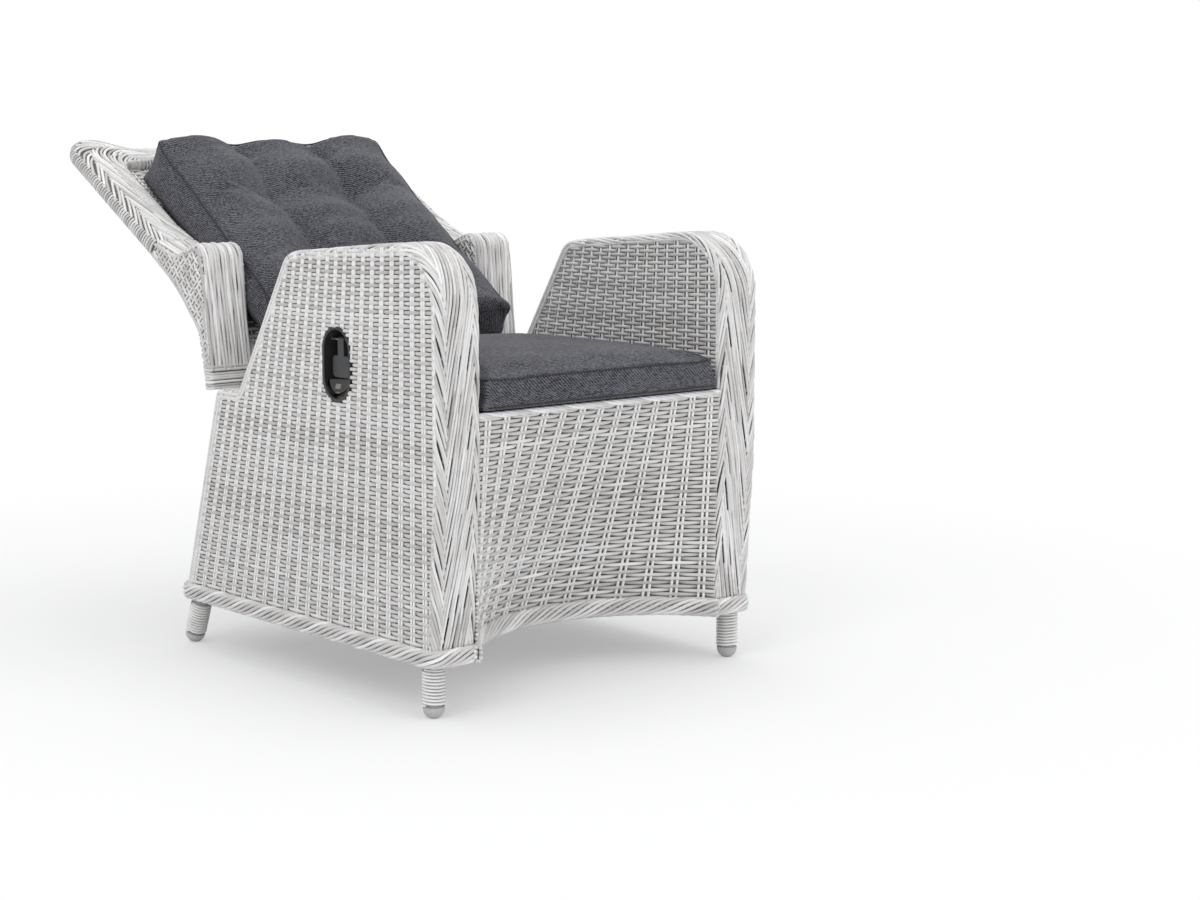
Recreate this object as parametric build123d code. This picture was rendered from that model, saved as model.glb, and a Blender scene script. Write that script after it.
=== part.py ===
from build123d import *
import os
from math import cos, hypot, pi, radians, sin, tan

# Reclining woven garden armchair. Millimetres, +Z up, the sitter faces -Y and the sitter's left is +X.
# Lengths run from the front face of the arms and from the floor, and are shifted on writing so that
# the origin is on the floor under the middle of the reclined chair. The rest pose is fully reclined.
origin_from_front = 533.0

# Materials and fits that many pieces share
skin = 5.0
bind = 3.0
fit = 0.3
running = 0.05
overrun = 10.0

# Arms, seen from the side
arm_spacing = 549.0
arm_width = 74.0
skirt_z = 78.0
arm_front_z = 686.0
arm_front_setback = 18.0
arm_front_straight_z = 330.0
arm_rear_top = (371.0, 656.0)
ledge_z = 430.0
ledge_front_y = 515.0
ledge_rear_y = 578.0
arm_rear_y = 690.0
stake_pitch = 30.5
stake_pair = 6.4
stake_proud = 2.0
stake_margin = 6.0
fan_bend_share = 0.3
arm_bow_r = 300.0
arm_front_r = 90.0
arm_rear_r = 35.0
ledge_hollow_r = 12.0
ledge_round_r = 8.0

# Legs
leg_tube_r = 12.5
tube_wall = 1.5
leg_front_y = 39.2
leg_rear_splay = 22.0
leg_post_z = 400.0
strand = 4.1
strand_pitch = 4.9
winding_fit = 0.6
turn_step_share = 0.0625
strand_crest_share = 0.5
foot_r = 16.0
foot_flat = 1.0
foot_collar = 2.0
foot_grip = 14.0

# Frame bars
bar = 5.0
bar_width = 20.0
rail = 25.0

# Seat
seat_top_z = 440.0
seat_deck_rear_y = 470.0
front_top_y = 3.0
front_top_hollow = 2.0
front_low_y = 10.0
front_low_hollow = 140.0
rear_panel_top_z = 360.0
rear_panel_inset = 4.0
rear_rail_inset = 5.0
skirt_rope_h = 26.0
skirt_rope_out = 10.0
skirt_rope_round = 8.0

# Recline pivot
pivot = (543.0, 325.0)
pivot_pin_r = 5.0
pivot_plate = 3.0
pivot_plate_r = 22.0
hinge_plate = 5.0
hinge_plate_r = 11.0
hinge_boss_r = 16.0
hinge_elbow = (560.0, 425.0)
nut_w = 17.0
nut_h = 6.0
thread_end = 2.0
recline = 38.5

# Backrest, seen from the side
back_origin = (710.5, 598.0)
back_slope = 29.6
back_top_u = 388.0
rim_joint_u = 75.0
rim_joint_v = 27.0
rim_thick = 20.0
rim_taper_u = 135.0
rim_skin = 3.0
rim_peak_u = 418.0
rim_corner_r = 46.0
rim_dip_r = 36.0
rim_inner_r = 30.0
rim_opening_u = 345.0
rim_bar = 14.0
rim_peak_in = 61.5
rim_dip_in = 111.5
back_panel_thick = 4.0
back_bar = (612.0, 485.0)
back_bar_r = 11.0
wing_front_low = (595.0, 428.0)
wing_front_high = (620.0, 668.0)
wing_hollow = (697.0, 637.0)
wing_bend_u = -6.0
wing_rear_mid = (628.0, 515.0)
wing_rear_low_y = 613.0
wing_top_r = 25.0
wing_hollow_r = 34.0
wing_bend_r = 150.0
wing_rear_r = 90.0
wing_wrap_z = 467.0
wing_wrap = 2.0

# Gas spring
spring_arm = 74.0
spring_bar_arm = 102.0
spring_bar_r = 8.0
spring_slope = 9.5
spring_mid_length = 284.0
spring_rail_ahead = 26.9
spring_rail_below = 4.2
spring_pin_r = 4.0
spring_eye_r = 12.0
spring_eye_half = 6.0
spring_eye_gap = 20.0
spring_rod_r = 5.0
spring_reserve = 15.5
spring_piston = 10.0
spring_tube_r = 11.0
spring_mouth = 63.6
spring_gland = 12.0
spring_slot = 4.6
head_near = 16.0
head_far = 34.0
head_r = 9.0
head_socket = 16.0
head_socket_r = 5.5
cable_seat = 6.0
ear = 3.0
ear_in = 8.3
ear_r = 10.0

# Cushions
cushion_side_gap = 3.5
seat_cushion_front_y = -8.0
seat_cushion_rear_y = 468.0
seat_cushion_box = 54.0
seat_cushion_crown = 13.0
cushion_draw = 4.0
back_cushion_start = (494.7, 538.4)
back_cushion_slope = 35.7
back_cushion_length = 497.0
back_cushion_low_box = 62.0
back_cushion_high_box = 89.8
seam_crown = 1.5
pillow_crown = 17.0
channel_crown = 4.0
channel_depth = 4.0
tuft_depth = 16.0
pillow_row_shares = (0, 1 / 3, 2 / 3)
puff_shares = ((0, 0), (0.2, 0.72), (0.5, 1), (0.8, 0.72))

# Release lever in the sitter's right arm
lever_y = 243.5
lever_z = 497.0
cup_w = 72.0
cup_h = 113.0
cup_rim = 5.0
cup_proud = 2.5
cup_wall = 2.0
cup_depth = 26.0
lever_pin_r = 2.0
lever_pin_up = 36.0
lever_pin_in = 10.0
lever_pin_half = 28.0
lever_knuckle_r = 4.0
lever_stem_w = 15.0
lever_stem_low = 12.0
lever_paddle_w = 42.0
lever_paddle_low = -20.0
lever_thick = 3.0
bowl_top = -24.0
bowl_scoop_r = 27.0
bowl_scoop_out = 6.0
cable_r = 3.0
cable_top_z = 505.0
cable_bend_r = 38.0


def crossing(a, b):
    """Point where two lines meet; each line is (point, direction) in a side view."""
    (ay, az), (au, av) = a
    (by, bz), (bu, bv) = b
    along = ((by - ay) * bv - (bz - az) * bu) / (au * bv - av * bu)
    return (ay + along * au, az + along * av)


def moved_side(start, end, amount):
    """One side of a clockwise outline, moved inwards by the amount."""
    dy, dz = end[0] - start[0], end[1] - start[1]
    length = hypot(dy, dz)
    return ((start[0] + amount * dz / length, start[1] - amount * dy / length), (dy, dz))


def inside(points, amounts):
    """A clockwise outline with each side moved inwards by its own amount."""
    count = len(points)
    sides = [moved_side(points[i], points[(i + 1) % count], amounts[i]) for i in range(count)]
    return [crossing(sides[i - 1], sides[i]) for i in range(count)]


def inside_radii(points, radii, amount):
    """Corner radii that keep the arcs parallel when a clockwise outline moves inwards."""
    result = []
    for i, radius in enumerate(radii):
        before, here, after = points[i - 1], points[i], points[(i + 1) % len(points)]
        turn = (here[0] - before[0]) * (after[1] - here[1]) - (here[1] - before[1]) * (after[0] - here[0])
        grown = radius + amount if turn > 0 else max(radius - amount, 0)
        result.append(grown if radius else 0)
    return result


def side_slab(points, radii, low_x, high_x):
    """A closed side outline with rounded corners, made solid between two x stations."""
    if any(radii):
        outline = FilletPolyline(*points, radius=radii, close=True)
    else:
        outline = Polyline(*points, close=True)
    face = make_face(Plane.YZ.offset(low_x) * outline)
    return extrude(face, amount=high_x - low_x, dir=(1, 0, 0))


def block(x_span, y_span, z_span):
    """A box between three pairs of stations."""
    spans = (x_span, y_span, z_span)
    middle = [(low + high) / 2 for low, high in spans]
    sizes = [high - low for low, high in spans]
    return Pos(*middle) * Box(*sizes)


def rod(start, end, radius):
    """A round bar from one point to another."""
    run = Vector(*end) - Vector(*start)
    seat = Plane(origin=start, z_dir=run)
    return seat * Cylinder(radius, run.length, align=(Align.CENTER, Align.CENTER, Align.MIN))


def disc(point, radius, low_x, high_x):
    """A round bar across the chair at a point of the side view."""
    return rod((low_x, *point), (high_x, *point), radius)


def link(a, b, radius, low_x, high_x):
    """A flat bar with round ends between two points of the side view."""
    dy, dz = b[0] - a[0], b[1] - a[1]
    ny, nz = radius * dz / hypot(dy, dz), -radius * dy / hypot(dy, dz)
    corners = [(a[0] - ny, a[1] - nz), (b[0] - ny, b[1] - nz), (b[0] + ny, b[1] + nz), (a[0] + ny, a[1] + nz)]
    middle = side_slab(corners, [0] * len(corners), low_x, high_x)
    return middle + disc(a, radius, low_x, high_x) + disc(b, radius, low_x, high_x)


def both(name, shape):
    """Write a left-hand piece and its mirror image on the right."""
    write(name + "_left", shape)
    write(name + "_right", mirror(shape, about=Plane.YZ))


def write(name, shape):
    """Write one node in the chair's own frame."""
    export_step(Pos(0, -origin_from_front, 0) * shape, f"parts/{name}.step")


# Side stations that follow from the sizes above
arm_in = (arm_spacing - arm_width) / 2
arm_out = (arm_spacing + arm_width) / 2
seat_half = arm_in - fit
cushion_half = arm_in - cushion_side_gap
leg_x = arm_out - skin - fit - leg_tube_r
arm_points = [
    (arm_front_setback, skirt_z),
    (0, arm_front_straight_z),
    (0, arm_front_z),
    arm_rear_top,
    (ledge_front_y, ledge_z),
    (ledge_rear_y, ledge_z),
    (arm_rear_y, skirt_z),
]
arm_radii = [0, arm_bow_r, arm_front_r, arm_rear_r, ledge_hollow_r, ledge_round_r, 0]
bound = [bind, bind, bind, 0, 0, 0, 0]
rear_lean = (arm_rear_y - ledge_rear_y) / (ledge_z - skirt_z)
rope_top_z = skirt_z + skirt_rope_h


def rear_y(z, depth):
    """Distance back of the seat's slanted rear at a height, moved in from the arms' rear edge."""
    return arm_rear_y - (z - skirt_z) * rear_lean - depth * hypot(1, rear_lean)


def arm_inside(depth):
    """The arm's outline moved in from the bound edge, open below the skirt."""
    amounts = [edge + depth for edge in bound]
    amounts[-1] = -overrun
    radii = inside_radii(arm_points, arm_radii, bind + depth)
    return inside(arm_points, amounts), radii


def stake_ribs(low_z, low_x, high_x):
    """The pairs of stakes that stand out of a woven side face above a height, fanned to the rear edge."""
    points, radii = arm_inside(stake_margin)
    above = block((low_x, high_x), (0, arm_rear_y), (low_z, arm_front_z))
    field = side_slab(points, radii, low_x, high_x) & above
    depth = arm_rear_y - arm_front_setback
    count = round(depth / stake_pitch)
    ribs = []
    for i in range(count):
        place_share = (i + 1 / 2) / count
        foot_y = arm_front_setback + depth * place_share - stake_pair / 2
        lean = rear_lean * place_share * (1 - fan_bend_share + fan_bend_share * place_share)
        low_y = foot_y - lean * (low_z - skirt_z)
        high_y = foot_y - lean * (arm_front_z - skirt_z)
        corners = [(low_y, low_z), (high_y, arm_front_z)]
        corners += [(high_y + stake_pair, arm_front_z), (low_y + stake_pair, low_z)]
        ribs.append(side_slab(corners, [0] * len(corners), low_x, high_x) & field)
    return ribs


def arm_weave():
    """The woven skin of the left arm: two side faces joined by the front, top and rear edges."""
    edge = inside(arm_points, bound)
    outer = side_slab(edge, inside_radii(arm_points, arm_radii, bind), arm_in, arm_out)
    points, radii = arm_inside(skin)
    cavity = side_slab(points, radii, arm_in + skin, arm_out - skin)
    outer += stake_ribs(rope_top_z + fit, arm_out, arm_out + stake_proud)
    outer += stake_ribs(seat_top_z + fit, arm_in - stake_proud, arm_in)
    return outer - cavity - disc(pivot, pivot_pin_r + fit, arm_in - overrun, arm_in + skin + overrun)


def arm_edging():
    """The braided band that wraps the arm's front and top, lying on the skin."""
    outer = side_slab(arm_points, arm_radii, arm_in, arm_out)
    edge = inside(arm_points, bound)
    radii = inside_radii(arm_points, arm_radii, bind)
    within = side_slab(edge, radii, arm_in - overrun, arm_out + overrun)
    kept = block((0, arm_out + overrun), (-overrun, arm_rear_top[0] - bind), (skirt_z, arm_front_z))
    return (outer - within) & kept


# Legs: where each foot stands, where its tube enters the arm, and the direction of the tube
foot_z = foot_r - foot_flat
elbow_y = rear_y(skirt_z, skin + fit + leg_tube_r)
heel_y = elbow_y + (skirt_z - foot_z) * tan(radians(leg_rear_splay))
knee_y = rear_y(leg_post_z, skin + fit + leg_tube_r)
front_foot = (leg_x, leg_front_y, foot_z)
front_elbow = (leg_x, leg_front_y, skirt_z)
rear_foot = (leg_x, heel_y, foot_z)
rear_elbow = (leg_x, elbow_y, skirt_z)


def along(start, end, distance):
    """The point at a distance from the start on the way to the end."""
    run = (Vector(*end) - Vector(*start)).normalized()
    return Vector(*start) + run * distance


def arm_frame():
    """The left arm's welded frame: flat-bar hoop, two tubular legs and the post behind the pivot."""
    outer, outer_radii = arm_inside(skin + fit)
    inner, inner_radii = arm_inside(skin + fit + bar)
    low_x, high_x = arm_in + skin + fit, arm_out - skin - fit
    hoop = side_slab(outer, outer_radii, low_x, high_x)
    hoop -= side_slab(inner, inner_radii, low_x - overrun, high_x + overrun)
    foot_low = skirt_z + bar
    window = block((low_x + bar_width, high_x - bar_width), (-overrun, arm_rear_y),
                   (foot_low + bar_width, arm_front_z))
    tie_y = (arm_rear_top[0] - bar_width) / 2
    window -= block((low_x, high_x), (tie_y, tie_y + bar_width), (arm_rear_top[1] - rail, arm_front_z))
    hoop = (hoop - window) & block((low_x, high_x), (-overrun, arm_rear_y), (foot_low, arm_front_z))
    floor_y = (leg_front_y, elbow_y - leg_tube_r)
    floor_bar = block((low_x, low_x + bar_width), floor_y, (foot_low, foot_low + bar))
    floor_bar += block((high_x - bar_width, high_x), floor_y, (foot_low, foot_low + bar))
    post_y = (pivot[0] - bar_width / 2, pivot[0] + bar_width / 2)
    post = block((low_x, low_x + bar), post_y, (foot_low, ledge_z - skin - fit - bar))
    front_top = (leg_x, leg_front_y, leg_post_z)
    knee = (leg_x, knee_y, leg_post_z)
    bore = leg_tube_r - tube_wall
    front_end = along(front_foot, front_elbow, foot_collar)
    rear_end = along(rear_foot, rear_elbow, foot_collar)
    legs = rod(front_end, front_top, leg_tube_r)
    legs += rod(rear_end, rear_elbow, leg_tube_r) + rod(rear_elbow, knee, leg_tube_r)
    legs += Pos(*rear_elbow) * Sphere(leg_tube_r)
    bores = rod(front_end, front_top, bore)
    bores += rod(rear_end, rear_elbow, bore) + rod(rear_elbow, knee, bore) + Pos(*rear_elbow) * Sphere(bore)
    return hoop + floor_bar + post + legs - bores


def foot_cap(foot, elbow):
    """A rounded plastic foot with a flat tread, a collar under the tube and a plug inside it."""
    below = along(foot, elbow, -foot_r)
    ball = Pos(*foot) * Sphere(foot_r) & rod(below, foot, foot_r + overrun)
    cap = ball + rod(foot, along(foot, elbow, foot_collar), foot_r)
    cap += rod(foot, along(foot, elbow, foot_collar + foot_grip), leg_tube_r - tube_wall - running)
    floor = block((0, arm_out + overrun), (-arm_rear_y, arm_rear_y + arm_out), (-foot_r, 0))
    return cap - floor


def biarc(start, leaving, end, arriving):
    """Two tangent arcs between two points with a given direction at each."""
    chord = end - start
    across = chord.dot(leaving + arriving)
    spread = 2 * (1 - leaving.dot(arriving))
    reach = (hypot(across, (spread * chord.dot(chord)) ** (1 / 2)) - across) / spread
    middle = (start + end + (leaving - arriving) * reach) * (1 / 2)
    first = Edge.make_tangent_arc(start, leaving, middle)
    return [first, Edge.make_tangent_arc(middle, first % 1, end)]


def leg_winding(foot, elbow):
    """One unbroken strand wound round the leg from the foot's collar up to the skirt."""
    run = along(foot, elbow, 1) - Vector(*foot)
    frame = Plane(origin=along(foot, elbow, foot_collar), x_dir=(1, 0, 0), z_dir=run)
    room = (skirt_z - frame.origin.Z) / frame.z_dir.Z
    room -= (leg_tube_r + winding_fit + strand) * tan(radians(frame.z_dir.get_angle(Vector(0, 0, 1))))
    turns = int((room - strand - 2 * fit) / strand_pitch)
    wound_r = leg_tube_r + winding_fit + strand / 2
    lead = strand_pitch / (2 * pi)
    stops = []
    for i in range(2 * turns + 1):
        side = cos(pi * i)
        place = Vector(wound_r * side, 0, fit + strand / 2 + strand_pitch * i / 2)
        course = Vector(0, wound_r * side, lead).normalized()
        stops.append((frame.from_local_coords(place), frame.from_local_coords(course) - frame.origin))
    edges = []
    for (start, leaving), (end, arriving) in zip(stops, stops[1:]):
        edges += biarc(start, leaving, end, arriving)
    path = Wire(edges)
    crest = strand_crest_share * strand / 2
    half = strand / 2
    profile = Polyline((-half, -half), (half, -crest), (half, crest), (-half, half), close=True)
    seat = Plane(origin=stops[0][0], x_dir=frame.x_dir, z_dir=stops[0][1])
    axis = Line(frame.from_local_coords((0, 0, fit + strand / 2)),
                frame.from_local_coords((0, 0, fit + strand / 2 + strand_pitch * turns)))
    wound = sweep(make_face(seat * profile), path=path, binormal=axis)
    a_turn = round(1 / turn_step_share)
    count = a_turn * turns
    samples = [path @ (k / count) for k in range(count + 1)]
    gap = min((b - a).length for a, b in zip(samples, samples[a_turn:])) - strand
    print(f"winding: {turns} turns, gap between turns {gap:.2f} mm")
    return wound


def hollow_rail(x_span, y_span, z_span, run):
    """A square tube between stations, open at both ends of its run (0 for x, 1 for y)."""
    spans = [x_span, y_span, z_span]
    inner = [(low + tube_wall, high - tube_wall) for low, high in spans]
    inner[run] = (spans[run][0] - overrun, spans[run][1] + overrun)
    return block(*spans) - block(*inner)


def arc_band(front_side_y, front_middle_y, rear_side_y, rear_middle_y, z):
    """A flat band across the seat between two curves that bow to the rear in the middle."""
    front = ThreePointArc((-seat_half, front_side_y, z), (0, front_middle_y, z), (seat_half, front_side_y, z))
    rear = ThreePointArc((seat_half, rear_side_y, z), (0, rear_middle_y, z), (-seat_half, rear_side_y, z))
    joins = [Line(front @ 1, rear @ 0), Line(rear @ 1, front @ 0)]
    return make_face([front, joins[0], rear, joins[1]])


front_panel_low_z = rope_top_z + fit
front_top_middle_y = front_top_y + front_top_hollow
front_low_middle_y = front_low_y + front_low_hollow
front_rear_side_y = front_low_y + 2 * skin


def behind_front(z):
    """Where the middle of the front panel's rear face stands at a height, with the fit added."""
    down = (seat_top_z - z) / (seat_top_z - front_panel_low_z)
    return front_top_middle_y + (front_low_middle_y - front_top_middle_y) * down + skin + fit


def front_panel():
    """The woven front, straight under the cushion and deeply hollowed at the floor side."""
    rear_middle = front_low_middle_y + skin
    low = arc_band(front_low_y, front_low_middle_y, front_rear_side_y, rear_middle, front_panel_low_z)
    top = arc_band(front_top_y, front_top_middle_y, front_top_y + skin, front_top_middle_y + skin, seat_top_z)
    return loft([low, top], ruled=True)


def front_low_bar():
    """The curved flat bar behind the front's lower border."""
    near_side = front_rear_side_y + 2 * fit
    near_middle = front_low_middle_y + skin + fit
    flat = arc_band(near_side, near_middle, near_side + bar_width, near_middle + bar_width, skirt_z)
    return extrude(flat, amount=bar, dir=(0, 0, 1))


def border_front():
    """The rope-like border under the woven front."""
    side, middle = front_low_y - skirt_rope_out, front_low_middle_y - skirt_rope_out
    flat = arc_band(side, middle, front_rear_side_y, front_low_middle_y + skin, skirt_z)
    band = extrude(flat, amount=skirt_rope_h, dir=(0, 0, 1))
    arcs = band.edges().filter_by(GeomType.CIRCLE).sort_by(Axis.Y)
    outer = [arc for arc in arcs if abs((arc @ (1 / 2)).Y - middle) < fit]
    return fillet(outer, skirt_rope_round)


def border_side():
    """The rope-like border round the front, outside and rear of the left arm."""
    y_span = (arm_front_setback - skirt_rope_out, arm_rear_y + skirt_rope_out)
    band = block((arm_in - arm_width, arm_out + skirt_rope_out), y_span, (skirt_z, rope_top_z))
    band = fillet(band.edges(), skirt_rope_round)
    band &= block((arm_in, arm_out + arm_width), (-arm_rear_y, 2 * arm_rear_y), (0, leg_post_z))
    return band - side_slab(arm_points, arm_radii, arm_in - overrun, arm_out)


def border_rear():
    """The rope-like border under the woven rear."""
    within = rear_panel_inset + skin
    outline = [
        (rear_y(skirt_z, within), skirt_z),
        (rear_y(rope_top_z, within), rope_top_z),
        (arm_rear_y + skirt_rope_out, rope_top_z),
        (arm_rear_y + skirt_rope_out, skirt_z),
    ]
    return side_slab(outline, [0, 0, skirt_rope_round, skirt_rope_round], -seat_half, seat_half)


def rear_panel():
    """The woven rear of the seat, parallel to the arms' rear edges."""
    low_z = rope_top_z + fit
    within = rear_panel_inset + skin
    outline = [
        (rear_y(low_z, within), low_z),
        (rear_y(rear_panel_top_z, within), rear_panel_top_z),
        (rear_y(rear_panel_top_z, rear_panel_inset), rear_panel_top_z),
        (rear_y(low_z, rear_panel_inset), low_z),
    ]
    return side_slab(outline, [0, 0, 0, 0], -seat_half, seat_half)


def rear_rail(top_z):
    """A square tube inside the woven rear."""
    outer_y = rear_y(top_z, rear_panel_inset + skin + fit)
    return hollow_rail((-seat_half, seat_half), (outer_y - rail, outer_y), (top_z - rail, top_z), 0)


rail_top_z = seat_top_z - skin
rail_z = (rail_top_z - rail, rail_top_z)


def seat_deck():
    """The woven seat surface under the cushion."""
    y_span = (behind_front(rail_top_z), seat_deck_rear_y)
    return block((-seat_half, seat_half), y_span, (rail_top_z, seat_top_z))


def seat_rails():
    """The four square tubes under the seat surface."""
    across = (-seat_half, seat_half)
    front_y = behind_front(rail_top_z - rail)
    write("seat_rail_front", hollow_rail(across, (front_y, front_y + rail), rail_z, 0))
    write("seat_rail_rear", hollow_rail(across, (seat_deck_rear_y - rail, seat_deck_rear_y), rail_z, 0))
    between = (front_y + rail, seat_deck_rear_y - rail)
    both("seat_rail_side", hollow_rail((seat_half - rail, seat_half), between, rail_z, 1))


# Stations across the recline pivot, from the arm's inner face towards the middle
plate_x = arm_in - pivot_plate
hinge_high_x = plate_x - fit
hinge_low_x = hinge_high_x - hinge_plate
nut_high_x = hinge_low_x - fit
nut_low_x = nut_high_x - nut_h


def pivot_stud():
    """A round plate on the arm's inner face with the pin that the backrest turns on."""
    stud = disc(pivot, pivot_plate_r, plate_x, arm_in)
    return stud + disc(pivot, pivot_pin_r, nut_low_x - thread_end, arm_in + skin + fit)


def pivot_nut():
    """The hexagon nut that closes the pivot pin."""
    seat = Plane(origin=(nut_low_x, *pivot), x_dir=(0, 1, 0), z_dir=(1, 0, 0))
    nut = extrude(seat * RegularPolygon(nut_w / 2, 6), amount=nut_h)
    return nut - disc(pivot, pivot_pin_r + running, nut_low_x - overrun, nut_high_x + overrun)


# Gas spring line: it lies on the chord of its upper pin's travel, so it slides without tilting
slope = radians(spring_slope)
half_turn = radians(recline / 2)
spring_mid_arm = spring_arm * cos(half_turn)
chord_y = pivot[0] + spring_mid_arm * sin(slope)
chord_z = pivot[1] - spring_mid_arm * cos(slope)
spring_base = (chord_y - spring_mid_length * cos(slope), chord_z - spring_mid_length * sin(slope))
spring_rest_length = spring_mid_length - spring_arm * sin(half_turn)
spring_stroke = 2 * spring_arm * sin(half_turn)
spring_rod_length = spring_mouth + spring_gland + spring_stroke + spring_piston + spring_reserve
spring_rail_rear_y = spring_base[0] - spring_rail_ahead
spring_rail_z = spring_base[1] - spring_rail_below


def hung_point(arm):
    """A point below the pivot, in the reclined pose, on the line that carries the gas spring's pin."""
    lean = half_turn - slope
    return (pivot[0] - arm * sin(lean), pivot[1] - arm * cos(lean))


def spring_point(distance, x=0.0, above=0.0):
    """A point on the gas spring's line, from its lower pin."""
    y = spring_base[0] + distance * cos(slope) - above * sin(slope)
    return (x, y, spring_base[1] + distance * sin(slope) + above * cos(slope))


def spring_crossrail():
    """The square tube between the arms that carries the gas spring."""
    y_span = (spring_rail_rear_y - rail, spring_rail_rear_y)
    z_span = (spring_rail_z - rail / 2, spring_rail_z + rail / 2)
    return hollow_rail((-seat_half, seat_half), y_span, z_span, 0)


def spring_bracket():
    """The bracket on the cross rail with two ears and the welded lower pin."""
    bracket_x = ear_in + ear
    root = (spring_rail_rear_y, spring_rail_rear_y + ear)
    spread = (spring_rail_z - rail / 2, spring_rail_z + rail / 2)
    bracket = block((-bracket_x, bracket_x), root, spread)
    for low_x in (-bracket_x, ear_in):
        bracket += disc(spring_base, ear_r, low_x, low_x + ear)
        ear_z = (spring_base[1] - ear_r, spring_base[1] + ear_r)
        bracket += block((low_x, low_x + ear), (spring_rail_rear_y, spring_base[0]), ear_z)
    return bracket + disc(spring_base, spring_pin_r, -bracket_x, bracket_x)


def gas_spring_rod():
    """The piston rod with its lower eye and its piston."""
    body = rod(spring_point(0), spring_point(spring_rod_length), spring_rod_r)
    body += disc(spring_base, ear_r, -spring_eye_half, spring_eye_half)
    body += rod(spring_point(spring_rod_length - spring_piston), spring_point(spring_rod_length),
                spring_tube_r - tube_wall - running)
    return body - disc(spring_base, spring_pin_r + running, -spring_eye_half, spring_eye_half)


def release_head():
    """The valve head on the piston rod, with the socket that takes the cable."""
    head = rod(spring_point(head_near), spring_point(head_far), head_r)
    middle = (head_near + head_far) / 2
    head += rod(spring_point(middle, -head_socket), spring_point(middle), head_socket_r)
    head -= rod(spring_point(middle, -head_socket - overrun), spring_point(middle, cable_seat - head_socket),
                cable_r + running)
    return head - rod(spring_point(0), spring_point(spring_rod_length), spring_rod_r + running)


def gas_spring_cylinder():
    """The cylinder that slides over the piston, with a slotted eye at the backrest."""
    end = spring_rest_length - spring_eye_gap
    body = rod(spring_point(spring_mouth), spring_point(end), spring_tube_r)
    body += rod(spring_point(end), spring_point(spring_rest_length), spring_rod_r)
    eye = spring_point(spring_rest_length)
    body += disc(eye[1:], spring_eye_r, -spring_eye_half, spring_eye_half)
    gland_end = spring_point(spring_mouth + spring_gland)
    body -= rod(spring_point(spring_mouth), gland_end, spring_rod_r + running)
    body -= rod(gland_end, spring_point(end - tube_wall), spring_tube_r - tube_wall)
    slot_end = spring_point(spring_rest_length, above=-spring_slot)
    return body - link(eye[1:], slot_end[1:], spring_pin_r + fit, -spring_eye_half, spring_eye_half)


def spring_bar():
    """The cross bar of the backrest below the pivots, with two ears for the gas spring's pin."""
    bar_at, pin_at = hung_point(spring_bar_arm), hung_point(spring_arm)
    body = disc(bar_at, spring_bar_r, -hinge_high_x, hinge_high_x)
    for low_x in (-ear_in - ear, ear_in):
        body += link(bar_at, pin_at, ear_r, low_x, low_x + ear)
        body -= disc(pin_at, spring_pin_r + running, low_x, low_x + ear)
    return body


def spring_pin():
    """The pin through the ears and the gas spring's slotted eye."""
    return disc(hung_point(spring_arm), spring_pin_r, -ear_in - ear, ear_in + ear)


def hinge_plate_side():
    """The left hinge plate: from the spring's cross bar past the pivot to the backrest's bar."""
    bar_at = hung_point(spring_bar_arm)
    low_x, high_x = hinge_low_x, hinge_high_x
    plate = link(bar_at, pivot, hinge_plate_r, low_x, high_x)
    plate += link(pivot, hinge_elbow, hinge_plate_r, low_x, high_x)
    plate += link(hinge_elbow, back_bar, hinge_plate_r, low_x, high_x)
    for place in (bar_at, pivot, back_bar):
        plate += disc(place, hinge_boss_r, low_x, high_x)
    plate -= disc(bar_at, spring_bar_r + running, low_x, high_x)
    plate -= disc(pivot, pivot_pin_r + running, low_x, high_x)
    return plate - disc(back_bar, back_bar_r + running, low_x, high_x)


def lower_back_bar():
    """The tube across the foot of the backrest, between its wings."""
    outer = disc(back_bar, back_bar_r, -seat_half, seat_half)
    return outer - disc(back_bar, back_bar_r - tube_wall, -seat_half, seat_half)


# The reclined backrest has its own frame: u runs up its rear face, v out of that face
lie = radians(back_slope)
back_plane = Plane(origin=(0, *back_origin), x_dir=(1, 0, 0), z_dir=(0, -sin(lie), cos(lie)))


def back_point(u, v):
    """A point of the backrest in the side view."""
    return (back_origin[0] + u * cos(lie) - v * sin(lie), back_origin[1] + u * sin(lie) + v * cos(lie))


def back_slab(points, radii, low_v, high_v):
    """A closed outline in the backrest's face, made solid between two depths."""
    outline = FilletPolyline(*points, radius=radii, close=True)
    return extrude(make_face(back_plane.offset(low_v) * outline), amount=high_v - low_v, dir=back_plane.z_dir)


wing_points = [
    wing_front_low,
    wing_front_high,
    wing_hollow,
    back_point(rim_joint_u, rim_joint_v),
    back_point(rim_joint_u, 0),
    back_point(wing_bend_u, 0),
    wing_rear_mid,
    (wing_rear_low_y, wing_front_low[1]),
]
wing_radii = [0, wing_top_r, wing_hollow_r, 0, 0, wing_bend_r, wing_rear_r, 0]
wing_joint_side = wing_points.index(back_point(rim_joint_u, rim_joint_v))


def wing_inside(depth, joint_depth):
    """The wing's outline moved inwards, with its own amount at the joint with the rim."""
    amounts = [depth] * len(wing_points)
    amounts[wing_joint_side] = joint_depth
    return inside(wing_points, amounts), inside_radii(wing_points, wing_radii, depth)


def wing():
    """The woven skin of the left wing of the backrest, open where the rim joins it."""
    cavity = side_slab(*wing_inside(skin, -overrun), arm_in + skin, arm_out - skin)
    return side_slab(wing_points, wing_radii, arm_in, arm_out) - cavity


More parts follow.
